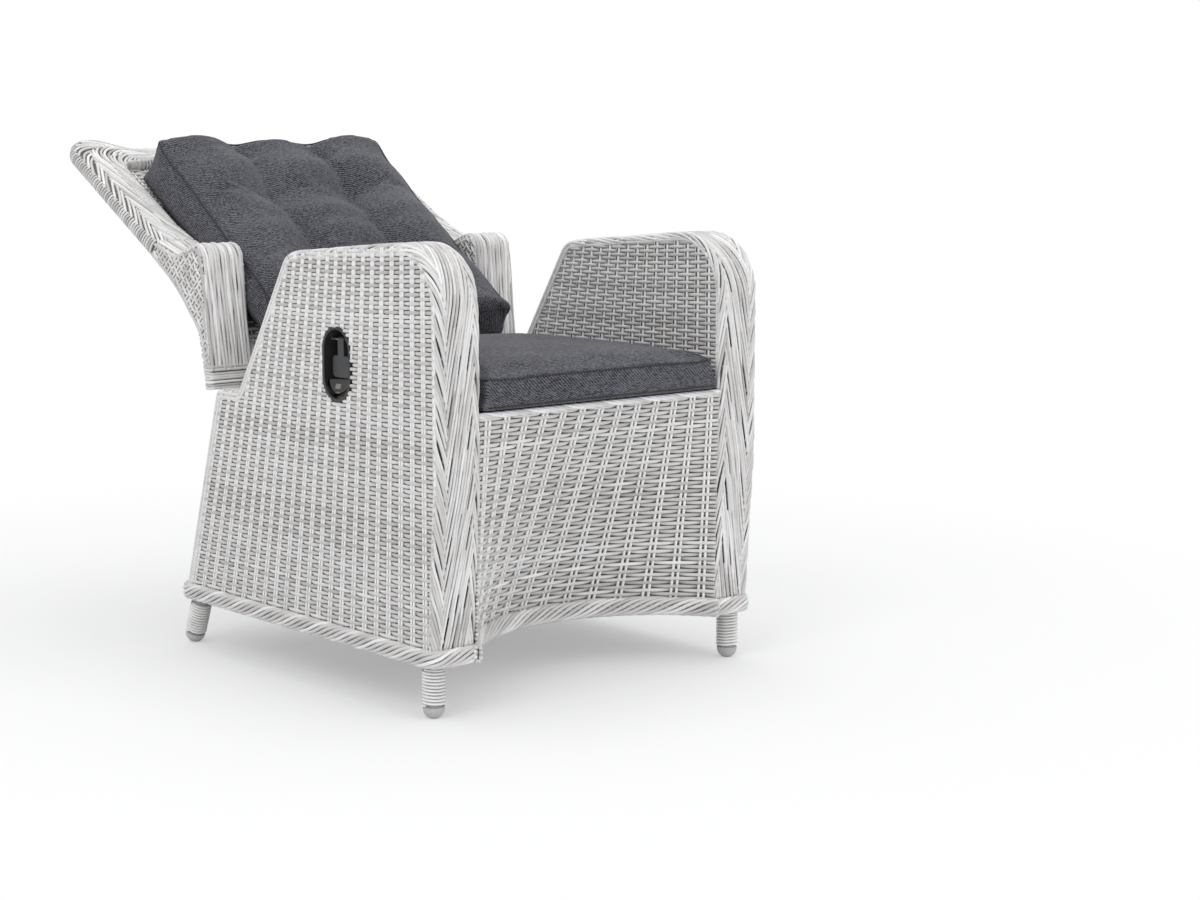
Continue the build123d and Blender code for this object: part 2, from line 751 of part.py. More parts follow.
def wing_frame():
    """The plate frame inside the left wing."""
    core = side_slab(*wing_inside(skin + fit, fit), arm_in + skin + fit, arm_out - skin - fit)
    depth = skin + fit + bar
    front = moved_side(wing_points[0], wing_points[1], depth)
    top = moved_side(wing_points[1], wing_points[2], depth)
    rear = moved_side(wing_points[5], wing_points[6], depth)
    window = [crossing(rear, front), crossing(front, top), crossing(top, rear)]
    return core - side_slab(window, [bar] * 3, arm_in, arm_out)


def wing_wraps():
    """The strand wound round the foot of the left wing."""
    outer = side_slab(*wing_inside(-fit - wing_wrap, -fit - wing_wrap), arm_in - fit - wing_wrap,
                      arm_out + fit + wing_wrap)
    within = side_slab(*wing_inside(-fit, -fit), arm_in - fit, arm_out + fit)
    height = (wing_front_low[1], wing_wrap_z)
    return (outer - within) & block((0, 2 * arm_out), (0, 2 * arm_rear_y), height)


rim_peak_x = arm_out - rim_peak_in
rim_dip_x = arm_out - rim_dip_in
rim_points = [
    (-arm_out, rim_joint_u),
    (-arm_out, rim_peak_u),
    (-rim_peak_x, rim_peak_u),
    (-rim_dip_x, back_top_u),
    (rim_dip_x, back_top_u),
    (rim_peak_x, rim_peak_u),
    (arm_out, rim_peak_u),
    (arm_out, rim_joint_u),
    (arm_in, rim_joint_u),
    (arm_in, rim_opening_u),
    (-arm_in, rim_opening_u),
    (-arm_in, rim_joint_u),
]
rim_outer_radii = [0, rim_corner_r, rim_dip_r, rim_dip_r, rim_dip_r, rim_dip_r, rim_corner_r, 0]
rim_radii = rim_outer_radii + [0, rim_inner_r, rim_inner_r, 0]


def back_rim():
    """The woven rim band of the backrest, thicker where it meets the wings and dipped at the top."""
    rim = back_slab(rim_points, rim_radii, 0, rim_thick)
    taper = [
        back_point(rim_joint_u, 0),
        back_point(rim_joint_u, rim_joint_v),
        back_point(rim_taper_u, rim_thick),
        back_point(rim_taper_u, 0),
    ]
    wedge = side_slab(taper, [0, 0, 0, 0], arm_in, arm_out)
    rim += wedge + mirror(wedge, about=Plane.YZ)
    amounts = [rim_skin] * len(rim_points)
    amounts[7] = -overrun
    amounts[11] = -overrun
    within = back_slab(inside(rim_points, amounts), inside_radii(rim_points, rim_radii, rim_skin),
                       rim_skin, rim_thick - rim_skin)
    return rim - within


def rim_frame():
    """The flat bars inside the rim, welded to a hoop that is open at the foot."""
    near = arm_in + rim_skin + fit
    far = near + rim_bar
    depth = (rim_skin + fit, rim_thick - rim_skin - fit)
    top_u = rim_opening_u + rim_skin + fit
    bars = block((near, far), (rim_joint_u, top_u + rim_bar), depth)
    bars += block((-far, -near), (rim_joint_u, top_u + rim_bar), depth)
    bars += block((-far, far), (top_u, top_u + rim_bar), depth)
    return back_plane * bars


def back_panel():
    """The woven sheet between the wings and inside the rim, bent down to the lower bar."""
    fall = (wing_rear_mid[1] - back_bar[1]) / (wing_rear_mid[1] - wing_front_low[1])
    low = (wing_rear_mid[0] + (wing_rear_low_y - wing_rear_mid[0]) * fall, back_bar[1])
    path = [back_point(rim_opening_u, 0), back_point(wing_bend_u, 0), wing_rear_mid, low]
    sides = [moved_side(path[i], path[i + 1], back_panel_thick) for i in range(len(path) - 1)]
    (last_y, last_z), (run_y, run_z) = sides[-1]
    front = [sides[0][0], crossing(sides[0], sides[1]), crossing(sides[1], sides[2])]
    front.append((last_y + run_y, last_z + run_z))
    bends = [0, wing_bend_r, wing_rear_r, 0]
    front_bends = [0, wing_bend_r + back_panel_thick, wing_rear_r + back_panel_thick, 0]
    panel = side_slab(path + front[::-1], bends + front_bends[::-1], -seat_half, seat_half)
    grown = inside(rim_points, [-fit] * len(rim_points))
    panel -= back_slab(grown, inside_radii(rim_points, rim_radii, -fit), -overrun, rim_thick)
    panel -= disc(back_bar, back_bar_r + fit, -seat_half, seat_half)
    for low_x in (-seat_half, hinge_low_x - fit):
        panel -= disc(back_bar, hinge_boss_r + fit, low_x, low_x + seat_half - hinge_low_x + fit)
    return panel


def closed_section(points):
    """A face from corner and mid points in turn; a side without a mid point is straight."""
    edges = []
    for start, middle, end in points:
        edges.append(ThreePointArc(start, middle, end) if middle else Line(start, end))
    return make_face(edges)


def seat_cushion():
    """The seat cushion: flat under side, drawn-in border and a crowned top."""
    low = seat_top_z + fit
    high = low + seat_cushion_box
    middle = (low + high) / 2
    w, drawn = cushion_half, cushion_half - cushion_draw
    sections = []
    for place_share, crown_share in ((0, 0), (0.14, 0.72), (0.5, 1), (0.86, 0.72), (1, 0)):
        y = seat_cushion_front_y + (seat_cushion_rear_y - seat_cushion_front_y) * place_share
        top = high + seam_crown + (seat_cushion_crown - seam_crown) * crown_share
        sections.append(closed_section([
            ((-w, y, low), None, (w, y, low)),
            ((w, y, low), (drawn, y, middle), (w, y, high)),
            ((w, y, high), (0, y, top), (-w, y, high)),
            ((-w, y, high), (-drawn, y, middle), (-w, y, low)),
        ]))
    return loft(sections)


cushion_lie = radians(back_cushion_slope)


def cushion_point(x, along_it, above):
    """A point of the back cushion: up along its front seam plane, then out of that plane."""
    y = back_cushion_start[0] + along_it * cos(cushion_lie) - above * sin(cushion_lie)
    return (x, y, back_cushion_start[1] + along_it * sin(cushion_lie) + above * cos(cushion_lie))


def back_cushion():
    """The back cushion: thicker at the top, with nine pillows drawn down at four tufts."""
    w, drawn = cushion_half, cushion_half - cushion_draw
    rows = len(pillow_row_shares)
    column = w / rows
    places = [(start + part / rows, puff) for start in pillow_row_shares for part, puff in puff_shares]
    places.append((1, 0))
    sections = []
    for place_share, puff in places:
        s = back_cushion_length * place_share
        deep = back_cushion_low_box + (back_cushion_high_box - back_cushion_low_box) * place_share
        at_end = place_share in (0, 1)
        low_valley, low_crown = (0, 0) if at_end else (-tuft_depth, channel_crown)
        valley = low_valley + (-channel_depth - low_valley) * puff
        rise = low_crown + (pillow_crown - low_crown) * puff + seam_crown
        at = cushion_point
        sections.append(closed_section([
            (at(-w, s, -deep), None, at(w, s, -deep)),
            (at(w, s, -deep), at(drawn, s, -deep / 2), at(w, s, 0)),
            (at(w, s, 0), at(2 * column, s, rise), at(column, s, valley)),
            (at(column, s, valley), at(0, s, rise), at(-column, s, valley)),
            (at(-column, s, valley), at(-2 * column, s, rise), at(-w, s, 0)),
            (at(-w, s, 0), at(-drawn, s, -deep / 2), at(-w, s, -deep)),
        ]))
    return loft(sections)


# Release lever: stations from the right arm's outer face inwards
lever_mouth_x = -arm_out
lever_pin_x = -arm_out + lever_pin_in
lever_pin_z = lever_z + lever_pin_up
mouth_w, mouth_h = cup_w - 2 * cup_rim, cup_h - 2 * cup_rim
cup_floor_x = lever_mouth_x + cup_depth


def stadium(width, height, low_x, high_x):
    """An upright slot shape round the lever's middle, between two x stations."""
    seat = Plane(origin=(low_x, lever_y, lever_z), x_dir=(0, 1, 0), z_dir=(1, 0, 0))
    return extrude(seat * SlotOverall(height, width, rotation=90), amount=high_x - low_x)


def lever_cup():
    """The recessed cup let into the arm, with holes for the lever's pin."""
    cup = stadium(mouth_w + 2 * cup_wall, mouth_h + 2 * cup_wall, lever_mouth_x, cup_floor_x)
    cup -= stadium(mouth_w, mouth_h, lever_mouth_x, cup_floor_x - cup_wall)
    return cup - lever_axle(lever_pin_r + running, cup_w / 2)


def lever_axle(radius, half):
    """A round bar along the lever's turning line."""
    start = (lever_pin_x, lever_y - half, lever_pin_z)
    return rod(start, (lever_pin_x, lever_y + half, lever_pin_z), radius)


def lever_bezel():
    """The oval frame on the arm's outer face round the cup."""
    ring = stadium(cup_w, cup_h, lever_mouth_x - cup_proud, lever_mouth_x)
    return ring - stadium(mouth_w, mouth_h, lever_mouth_x - cup_proud, lever_mouth_x)


def finger_bowl():
    """The scooped insert in the lower end of the cup."""
    insert = stadium(mouth_w - 2 * fit, mouth_h - 2 * fit, lever_mouth_x, cup_floor_x - cup_wall - fit)
    y_span = (lever_y - cup_w, lever_y + cup_w)
    insert &= block((lever_mouth_x, cup_floor_x), y_span, (lever_z - cup_h, lever_z + bowl_top))
    return insert - Pos(lever_mouth_x - bowl_scoop_out, lever_y, lever_z + bowl_top) * Sphere(bowl_scoop_r)


def release_lever():
    """The lever: a knuckle on the pin, a stem and a broad finger paddle."""
    outer_x = lever_pin_x - lever_knuckle_r
    x_span = (outer_x, outer_x + lever_thick)
    knuckle = lever_axle(lever_knuckle_r, lever_stem_w / 2)
    stem = block(x_span, (lever_y - lever_stem_w / 2, lever_y + lever_stem_w / 2),
                 (lever_z + lever_stem_low, lever_pin_z))
    paddle_y = (lever_y - lever_paddle_w / 2, lever_y + lever_paddle_w / 2)
    paddle = block(x_span, paddle_y, (lever_z + lever_paddle_low, lever_z + lever_stem_low))
    paddle = fillet(paddle.edges().filter_by(Axis.X), lever_stem_w / 2)
    return knuckle + stem + paddle - lever_axle(lever_pin_r + running, lever_stem_w)


cable_start = (cup_floor_x + fit + cable_r, lever_y, cable_top_z)
cable_end = spring_point((head_near + head_far) / 2, cable_seat - head_socket)
cable_corner = (cable_start[0], cable_end[1], cable_end[2])


def release_cable():
    """The sheathed cable from the cup down inside the arm and across to the valve head."""
    path = FilletPolyline(cable_start, cable_corner, cable_end, radius=cable_bend_r)
    run = Vector(*cable_corner) - Vector(*cable_start)
    return sweep(Plane(origin=cable_start, z_dir=run) * Circle(cable_r), path=path)


def arm_weave_right():
    """The right arm's skin, with the openings for the lever's cup and the cable."""
    weave = mirror(arm_weave(), about=Plane.YZ)
    edge = 2 * (cup_wall + fit)
    weave -= stadium(mouth_w + edge, mouth_h + edge, lever_mouth_x - overrun, lever_mouth_x + skin + overrun)
    weave -= stadium(cup_w + 2 * fit, cup_h + 2 * fit, lever_mouth_x - overrun, lever_mouth_x)
    inlet = (-arm_in - skin - fit, *cable_end[1:])
    return weave - rod(inlet, (-arm_in + overrun, *cable_end[1:]), cable_r + fit)


os.makedirs("parts", exist_ok=True)
write("arm_weave_left", arm_weave())
write("arm_weave_right", arm_weave_right())
both("arm_edging", arm_edging())
both("arm_frame", arm_frame())
both("foot_cap_front", foot_cap(front_foot, front_elbow))
both("foot_cap_rear", foot_cap(rear_foot, rear_elbow))
both("leg_winding_front", leg_winding(front_foot, front_elbow))
both("leg_winding_rear", leg_winding(rear_foot, rear_elbow))
both("border_side", border_side())
write("border_front", border_front())
write("border_rear", border_rear())
write("front_panel", front_panel())
write("front_low_bar", front_low_bar())
write("rear_panel", rear_panel())
write("rear_rail_top", rear_rail(rear_panel_top_z - rear_rail_inset))
write("rear_rail_low", rear_rail(rope_top_z + rear_rail_inset + rail))
write("seat_deck", seat_deck())
seat_rails()
write("spring_rail", spring_crossrail())
both("pivot_stud", pivot_stud())
both("pivot_nut", pivot_nut())
write("spring_bracket", spring_bracket())
write("gas_spring_rod", gas_spring_rod())
write("release_head", release_head())
write("gas_spring_cylinder", gas_spring_cylinder())
write("spring_bar", spring_bar())
write("spring_pin", spring_pin())
both("hinge_plate", hinge_plate_side())
write("back_bar", lower_back_bar())
both("wing", wing())
both("wing_frame", wing_frame())
both("wing_wraps", wing_wraps())
write("back_rim", back_rim())
write("rim_frame", rim_frame())
write("back_panel", back_panel())
write("seat_cushion", seat_cushion())
write("back_cushion", back_cushion())
write("lever_cup", lever_cup())
write("lever_bezel", lever_bezel())
write("finger_bowl", finger_bowl())
write("lever_pin", lever_axle(lever_pin_r, lever_pin_half))
write("release_lever", release_lever())
write("release_cable", release_cable())
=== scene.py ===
"""Looks of the reclining woven garden armchair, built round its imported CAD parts.

Stations are named in millimetres from the front face of the arms and from the floor, as in the CAD
source, and `place` turns them into metres in the shared frame.
"""
import logging
import math
from collections.abc import Callable, Sequence
from dataclasses import dataclass, field, replace
from enum import Enum
from functools import partial

import bmesh
import bpy
import numpy as np
from bpy.types import ID, Material, Mesh, Node, NodeSocket, NodeTree, Object
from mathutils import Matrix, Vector
from mathutils.bvhtree import BVHTree


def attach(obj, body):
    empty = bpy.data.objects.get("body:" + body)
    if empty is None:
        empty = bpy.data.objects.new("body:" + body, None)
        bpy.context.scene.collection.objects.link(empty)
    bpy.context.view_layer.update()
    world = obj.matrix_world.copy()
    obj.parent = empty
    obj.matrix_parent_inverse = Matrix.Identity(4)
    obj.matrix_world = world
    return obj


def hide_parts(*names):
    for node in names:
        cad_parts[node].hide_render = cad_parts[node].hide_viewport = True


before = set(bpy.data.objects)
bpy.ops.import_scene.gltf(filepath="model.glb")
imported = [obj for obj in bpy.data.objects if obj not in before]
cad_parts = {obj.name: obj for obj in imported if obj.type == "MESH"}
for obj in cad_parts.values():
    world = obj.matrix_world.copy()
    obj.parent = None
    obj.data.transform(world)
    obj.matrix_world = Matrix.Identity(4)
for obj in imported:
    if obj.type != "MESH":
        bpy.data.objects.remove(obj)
log = logging.getLogger("armchair")

MM = 0.001
FRONT_TO_ORIGIN = 533.0

# Stations in millimetres that more than one sub-assembly uses
INNER_X = 237.5
OUTER_X = 311.5
FOOT_Z = 78.0
FRONT_FOOT_Y = 18.0
REAR_FOOT_Y = 690.0
REAR_LEAN = 112 / 352

STAKE_TONE = (0.98, 0.05)
BOUND_POINTS = 120

# Closer points of a strand are left out, because a curve joins them into one
CLOSE = 0.05 * MM

Array = np.ndarray
Pair = tuple[float, float]
Points = tuple[Pair, ...]
Surface = Callable[[Array, Array], Array]
Mask = Callable[[Array, Array], Array]
Colour = tuple[float, float, float]


class Side(Enum):
    """Which side of the chair a piece stands on; the value is the sign of x."""

    LEFT = 1
    RIGHT = -1

    @property
    def suffix(self) -> str:
        """The ending of this side's piece and node names."""
        return "_" + self.name.lower()


# Places and shapes
def place(x: Array, y: Array, z: Array) -> Array:
    """Points in metres in the shared frame, from stations in millimetres."""
    x, y, z = np.broadcast_arrays(x, y, z)
    return np.stack([x, y - FRONT_TO_ORIGIN, z], axis=-1) * MM


def matched(a: Array, b: Array) -> tuple[Array, Array]:
    """Both values as arrays of numbers in one shape."""
    return np.broadcast_arrays(np.asarray(a, float), np.asarray(b, float))


def rounded(points: Sequence[Pair], radii: Sequence[float], closed: bool = True) -> Array:
    """An outline with arcs at its corners.

    Args:
        points: corner points.
        radii: one radius per corner, 0 for a sharp one.
        closed: whether the last corner joins the first.

    Returns:
        The points of the outline, in order.
    """
    result: list[Array] = []
    corners = [np.array(p, float) for p in points]
    for i, (corner, radius) in enumerate(zip(corners, radii)):
        ends = not closed and i in (0, len(corners) - 1)
        if ends or radius <= 0:
            result.append(corner)
            continue
        before, after = corners[i - 1], corners[(i + 1) % len(corners)]
        u = (before - corner) / np.linalg.norm(before - corner)
        v = (after - corner) / np.linalg.norm(after - corner)
        half = math.acos(np.clip(u @ v, -1, 1)) / 2
        reach = radius / math.tan(half)
        centre = corner + (u + v) / np.linalg.norm(u + v) * radius / math.sin(half)
        first, last = corner + u * reach - centre, corner + v * reach - centre
        turn = math.atan2(first[0] * last[1] - first[1] * last[0], first @ last)
        for step in np.linspace(0, turn, max(3, int(abs(turn) * 8) + 2)):
            c, s = math.cos(step), math.sin(step)
            result.append(centre + np.array([c * first[0] - s * first[1], s * first[0] + c * first[1]]))
    return np.array(result)


def within(outline: Array, a: Array, b: Array) -> Array:
    """Which points (a, b) lie inside a closed outline."""
    a, b = matched(a, b)
    x0, y0 = outline.T
    x1, y1 = np.roll(outline, -1, axis=0).T
    a, b = a[..., None], b[..., None]
    rise = np.where(y1 == y0, 1.0, y1 - y0)
    crosses = ((y0 > b) != (y1 > b)) & (a < (x1 - x0) * (b - y0) / rise + x0)
    return np.count_nonzero(crosses, axis=-1) % 2 == 1


def smooth_share(value: Array, low: float, high: float) -> Array:
    """A share that rises softly from 0 at low to 1 at high."""
    t = np.clip((np.asarray(value, float) - low) / (high - low), 0, 1)
    return t * t * (3 - 2 * t)


@dataclass
class Track:
    """A line that strands follow, with distances along it and its direction."""

    points: Array

    def __post_init__(self) -> None:
        """Measure the line."""
        steps = np.linalg.norm(np.diff(self.points, axis=0), axis=1)
        self.points = self.points[np.concatenate([[True], steps > 1e-6])]
        steps = np.linalg.norm(np.diff(self.points, axis=0), axis=1)
        self.distance = np.concatenate([[0.0], np.cumsum(steps)])

    def near(self, first: float) -> float:
        """The distance at which the first coordinate comes nearest to a value."""
        return float(self.distance[np.argmin(np.abs(self.points[:, 0] - first))])

    @classmethod
    def through(cls, points: Sequence[Pair], radii: Sequence[float]) -> "Track":
        """An open line with arcs at its corners."""
        return cls(rounded(points, radii, closed=False))

    @property
    def length(self) -> float:
        """The whole length of the line."""
        return float(self.distance[-1])

    def at(self, s: Array) -> Array:
        """Points at distances along the line."""
        s = np.asarray(s, float)
        return np.stack([np.interp(s, self.distance, self.points[:, k]) for k in range(self.points.shape[1])], -1)

    def course(self, s: Array, reach: float = 3.0) -> Array:
        """Unit directions at distances along the line, smoothed over a reach."""
        run = self.at(np.minimum(s + reach, self.length)) - self.at(np.maximum(s - reach, 0))
        return run / np.linalg.norm(run, axis=-1, keepdims=True)

    def left(self, s: Array, reach: float = 3.0) -> Array:
        """Unit directions to the left side of a flat line."""
        run = self.course(s, reach)
        return np.stack([-run[..., 1], run[..., 0]], -1)


# Finishes
class Tree:
    """A short way to write a node tree."""

    def __init__(self, tree: NodeTree) -> None:
        """Write into a tree."""
        self.tree = tree

    def fill(self, node: Node, inputs: dict[str | int, object]) -> Node:
        """Link or set some of a node's inputs."""
        for key, source in inputs.items():
            if isinstance(source, NodeSocket):
                self.tree.links.new(source, node.inputs[key])
            else:
                node.inputs[key].default_value = source
        return node

    def add(self, kind: str, inputs: dict[str | int, object], **values: object) -> Node:
        """Add a node, set its properties and fill its inputs."""
        node = self.tree.nodes.new("ShaderNode" + kind)
        for key, value in values.items():
            setattr(node, key, value)
        return self.fill(node, inputs)

    def math(self, operation: str, a: object, b: object, clamp: bool = False) -> NodeSocket:
        """One calculation on two values."""
        return self.add("Math", {0: a, 1: b}, operation=operation, use_clamp=clamp).outputs[0]

    def mix(self, share: object, first: Node, second: Node, output: Node) -> None:
        """Give an output a first surface that turns into a second one by a share."""
        both = self.add("MixShader", {0: share, 1: first.outputs[0], 2: second.outputs[0]})
        self.fill(output, {"Surface": both.outputs[0]})


class Nodes(Tree):
    """A new material and its node tree."""

    def __init__(self, name: str) -> None:
        """Start a material with an empty principled surface."""
        self.material = bpy.data.materials.new(name)
        self.material.use_nodes = True
        super().__init__(self.material.node_tree)
        self.shader = self.tree.nodes["Principled BSDF"]
        self.place = self.add("TexCoord", {}).outputs["Object"]

    def noise(self, scale: float, detail: float = 3.0, rough: float = 0.5,
              stretch: Sequence[float] | None = None) -> NodeSocket:
        """A noise value over the object's own coordinates, stretched if asked."""
        where = self.place
        if stretch is not None:
            where = self.add("Mapping", {"Vector": where, "Scale": stretch}).outputs[0]
        inputs = {"Vector": where, "Scale": scale, "Detail": detail, "Roughness": rough}
        return self.add("TexNoise", inputs).outputs[0]

    def swing(self, value: object, reach: float) -> NodeSocket:
        """A noise value centred on 0 and scaled to a reach."""
        return self.math("MULTIPLY", self.math("SUBTRACT", value, 0.5), reach)

    def ramp(self, value: object, stops: Sequence[tuple[float, Colour]]) -> NodeSocket:
        """A colour that follows a value through the given stops."""
        node = self.add("ValToRGB", {0: value})
        elements = node.color_ramp.elements
        while len(elements) < len(stops):
            elements.new(0.5)
        for element, (position, colour) in zip(elements, stops):
            element.position = position
            element.color = (*colour, 1.0)
        return node.outputs[0]

    def bump(self, height: object, strength: float, depth: float) -> None:
        """Use a height as relief on the surface."""
        node = self.add("Bump", {"Height": height, "Strength": strength, "Distance": depth})
        self.fill(self.shader, {"Normal": node.outputs[0]})

    def surface(self, colour: object, rough: object, metal: float = 0.0, shine: float = 0.5) -> Material:
        """Set the main surface values and give back the material."""
        base = (*colour, 1.0) if isinstance(colour, tuple) else colour
        inputs = {"Base Color": base, "Roughness": rough, "Metallic": metal, "Specular IOR Level": shine}
        self.fill(self.shader, inputs)
        return self.material


@dataclass(frozen=True)
class StrandFinish:
    """Outdoor wicker strands: near-white, light grey and taupe, with fine grain and soft clouds."""

    name: str = "wicker_strand"
    light: Colour = (0.87, 0.862, 0.853)
    plain: Colour = (0.605, 0.592, 0.580)
    taupe: Colour = (0.355, 0.337, 0.322)
    tone: float | None = None

    def build(self) -> Material:
        """Make the material; each strand's own tone comes from its attribute, unless one is given."""
        n = Nodes(self.name)
        own = self.tone
        if own is None:
            own = n.add("Attribute", {}, attribute_name="tone").outputs["Fac"]
        cloud = n.swing(n.noise(34.0, detail=4.0), 0.42)
        speck = n.swing(n.noise(900.0, detail=2.0), 0.22)
        level = n.math("ADD", n.math("ADD", own, cloud), speck, clamp=True)
        colour = n.ramp(level, ((0.0, self.taupe), (0.5, self.plain), (0.95, self.light)))
        n.bump(n.noise(1500.0, detail=2.0), 0.25, 0.0004)
        return n.surface(colour, n.math("ADD", 0.40, n.math("MULTIPLY", n.noise(120.0), 0.2)), shine=0.45)


@dataclass(frozen=True)
class ShadeFinish:
    """A dark sheet of painted shade that shows between the strands, where the hollow inside of the weave would lie in
    shadow.
    """

    name: str = "painted_shade_inside"
    dark: Colour = (0.085, 0.082, 0.078)
    pale: Colour = (0.19, 0.185, 0.18)

    def build(self) -> Material:
        """Make the material: painted shade, drawn as dim rows of strand backs."""
        n = Nodes(self.name)
        rows = n.noise(1.0, detail=2.0, stretch=(20, 20, 260))
        colour = n.ramp(rows, ((0.35, self.dark), (0.65, self.pale)))
        n.bump(rows, 0.6, 0.001)
        return n.surface(colour, 0.8, shine=0.2)


@dataclass(frozen=True)
class FabricFinish:
    """Charcoal outdoor fabric: a melange twill with pale and bluish threads."""

    name: str = "twill_fabric"
    dark: Colour = (0.008, 0.0083, 0.0105)
    pale: Colour = (0.150, 0.151, 0.176)

    def build(self) -> Material:
        """Make the material: twill lines, flecks and soft wear clouds."""
        n = Nodes(self.name)
        inputs = {"Vector": n.place, "Scale": 105.0, "Distortion": 2.0, "Detail": 2.0, "Detail Scale": 3.0}
        twill = n.add("TexWave", inputs, wave_type="BANDS", bands_direction="DIAGONAL").outputs["Fac"]
        along = n.noise(1.0, detail=2.0, stretch=(520, 130, 520))
        across = n.noise(1.0, detail=2.0, stretch=(130, 520, 520))
        flecks = n.math("ADD", along, across)
        level = n.math("ADD", n.math("MULTIPLY", flecks, 0.80), n.math("MULTIPLY", twill, 0.30))
        level = n.math("SUBTRACT", level, 0.20)
        clouds = n.swing(n.noise(9.0, detail=4.0), 0.25)
        colour = n.ramp(n.math("ADD", level, clouds), ((0.56, self.dark), (0.97, self.pale)))
        n.fill(n.shader, {"Sheen Weight": 0.12, "Sheen Roughness": 0.6})
        n.bump(n.math("ADD", flecks, twill), 0.45, 0.0007)
        return n.surface(colour, 0.92, shine=0.15)


@dataclass(frozen=True)
class PlainFinish:
    """Paint, plastic or metal with fine wear: light scuffs and a little unevenness."""

    name: str
    colour: Colour
    worn: Colour
    rough: float
    metal: float = 0.0
    relief: float = 0.1
    coat: float = 0.0

    def build(self) -> Material:
        """Make the material."""
        n = Nodes(self.name)
        n.fill(n.shader, {"Coat Weight": self.coat})
        wear = n.noise(24.0, detail=6.0, rough=0.7)
        colour = n.ramp(wear, ((0.35, self.colour), (0.75, self.worn)))
        rough = n.math("ADD", self.rough, n.swing(n.noise(60.0, detail=5.0), 0.18), clamp=True)
        n.bump(n.noise(400.0), self.relief, 0.0004)
        return n.surface(colour, rough, self.metal)


@dataclass
class Finishes:
    """Every material of the chair, built once."""

    made: dict[str, Material] = field(default_factory=dict)

    def __post_init__(self) -> None:
        """Build the materials."""
        kinds = (
            StrandFinish(),
            StrandFinish("wicker_winding", tone=0.86),
            ShadeFinish(),
            FabricFinish(),
            FabricFinish("seam_fabric", (0.012, 0.012, 0.015), (0.055, 0.055, 0.065)),
            PlainFinish("painted_frame", (0.34, 0.34, 0.335), (0.42, 0.42, 0.41), 0.45),
            PlainFinish("zinc_steel", (0.50, 0.51, 0.52), (0.38, 0.38, 0.38), 0.34, 1.0),
            PlainFinish("grey_foot", (0.50, 0.50, 0.505), (0.40, 0.40, 0.40), 0.5),
            PlainFinish("black_gloss", (0.014, 0.014, 0.015), (0.035, 0.035, 0.037), 0.14, relief=0.02),
            PlainFinish("cup_plastic", (0.018, 0.018, 0.019), (0.035, 0.035, 0.036), 0.35),
            PlainFinish("lever_plastic", (0.024, 0.025, 0.026), (0.045, 0.046, 0.047), 0.38),
            PlainFinish("dark_chrome", (0.035, 0.030, 0.026), (0.02, 0.017, 0.015), 0.1, 1.0, 0.02, 1.0),
            PlainFinish("black_tube", (0.015, 0.015, 0.016), (0.05, 0.05, 0.05), 0.3),
            PlainFinish("polished_rod", (0.66, 0.66, 0.67), (0.55, 0.55, 0.56), 0.14, 1.0),
            PlainFinish("cable_sheath", (0.02, 0.02, 0.021), (0.06, 0.06, 0.06), 0.55),
        )
        self.made = {kind.name: kind.build() for kind in kinds}

    def dress(self, obj: Object, name: str) -> None:
        """Give an object one of the finishes."""
        if obj.data.materials:
            obj.data.materials[0] = self.made[name]
        else:
            obj.data.materials.append(self.made[name])

    def piece(self, obj: Object, look: str, body: str, slot: str, node: str = "") -> None:
        """Dress a piece, give it its body and hide the CAD node that it stands for, if any."""
        self.dress(obj, look)
        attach(obj, body)
        if node:
            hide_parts(node)


# Meshes
def linked(name: str, data: ID) -> Object:
    """A new object that is in the scene."""
    obj = bpy.data.objects.new(name, data)
    bpy.context.scene.collection.objects.link(obj)
    return obj


def smooth_faces(mesh: Mesh) -> None:
    """Shade every face of a mesh smoothly."""
    mesh.polygons.foreach_set("use_smooth", [True] * len(mesh.polygons))


def coordinates(mesh: Mesh) -> Array:
    """The places of a mesh's vertices."""
    found = np.empty(3 * len(mesh.vertices))
    mesh.vertices.foreach_get("co", found)
    return found.reshape(-1, 3)


def sunk(node: str, ending: str, depth: float) -> Object:
    """A copy of a CAD node, with its triangles joined and its faces a depth in millimetres further in."""
    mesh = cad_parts[node].data.copy()
    mesh.name = node + ending
    shape = bmesh.new()
    shape.from_mesh(mesh)
    bmesh.ops.remove_doubles(shape, verts=shape.verts, dist=0.00002)
    bmesh.ops.recalc_face_normals(shape, faces=shape.faces)
    shape.normal_update()
    shape.to_mesh(mesh)
    shape.free()
    mesh.materials.clear()
    obj = linked(node + ending, mesh)
    sink = obj.modifiers.new("sink", "DISPLACE")
    sink.strength, sink.mid_level = -depth * MM, 0.0
    return obj


def core(node: str, depth: float, finishes: Finishes, body: str) -> None:
    """Put a dark sheet of painted shade behind a weave: its CAD skin, sunk by a depth."""
    finishes.piece(sunk(node, "_core", depth), "painted_shade_inside", body, "weave", node)


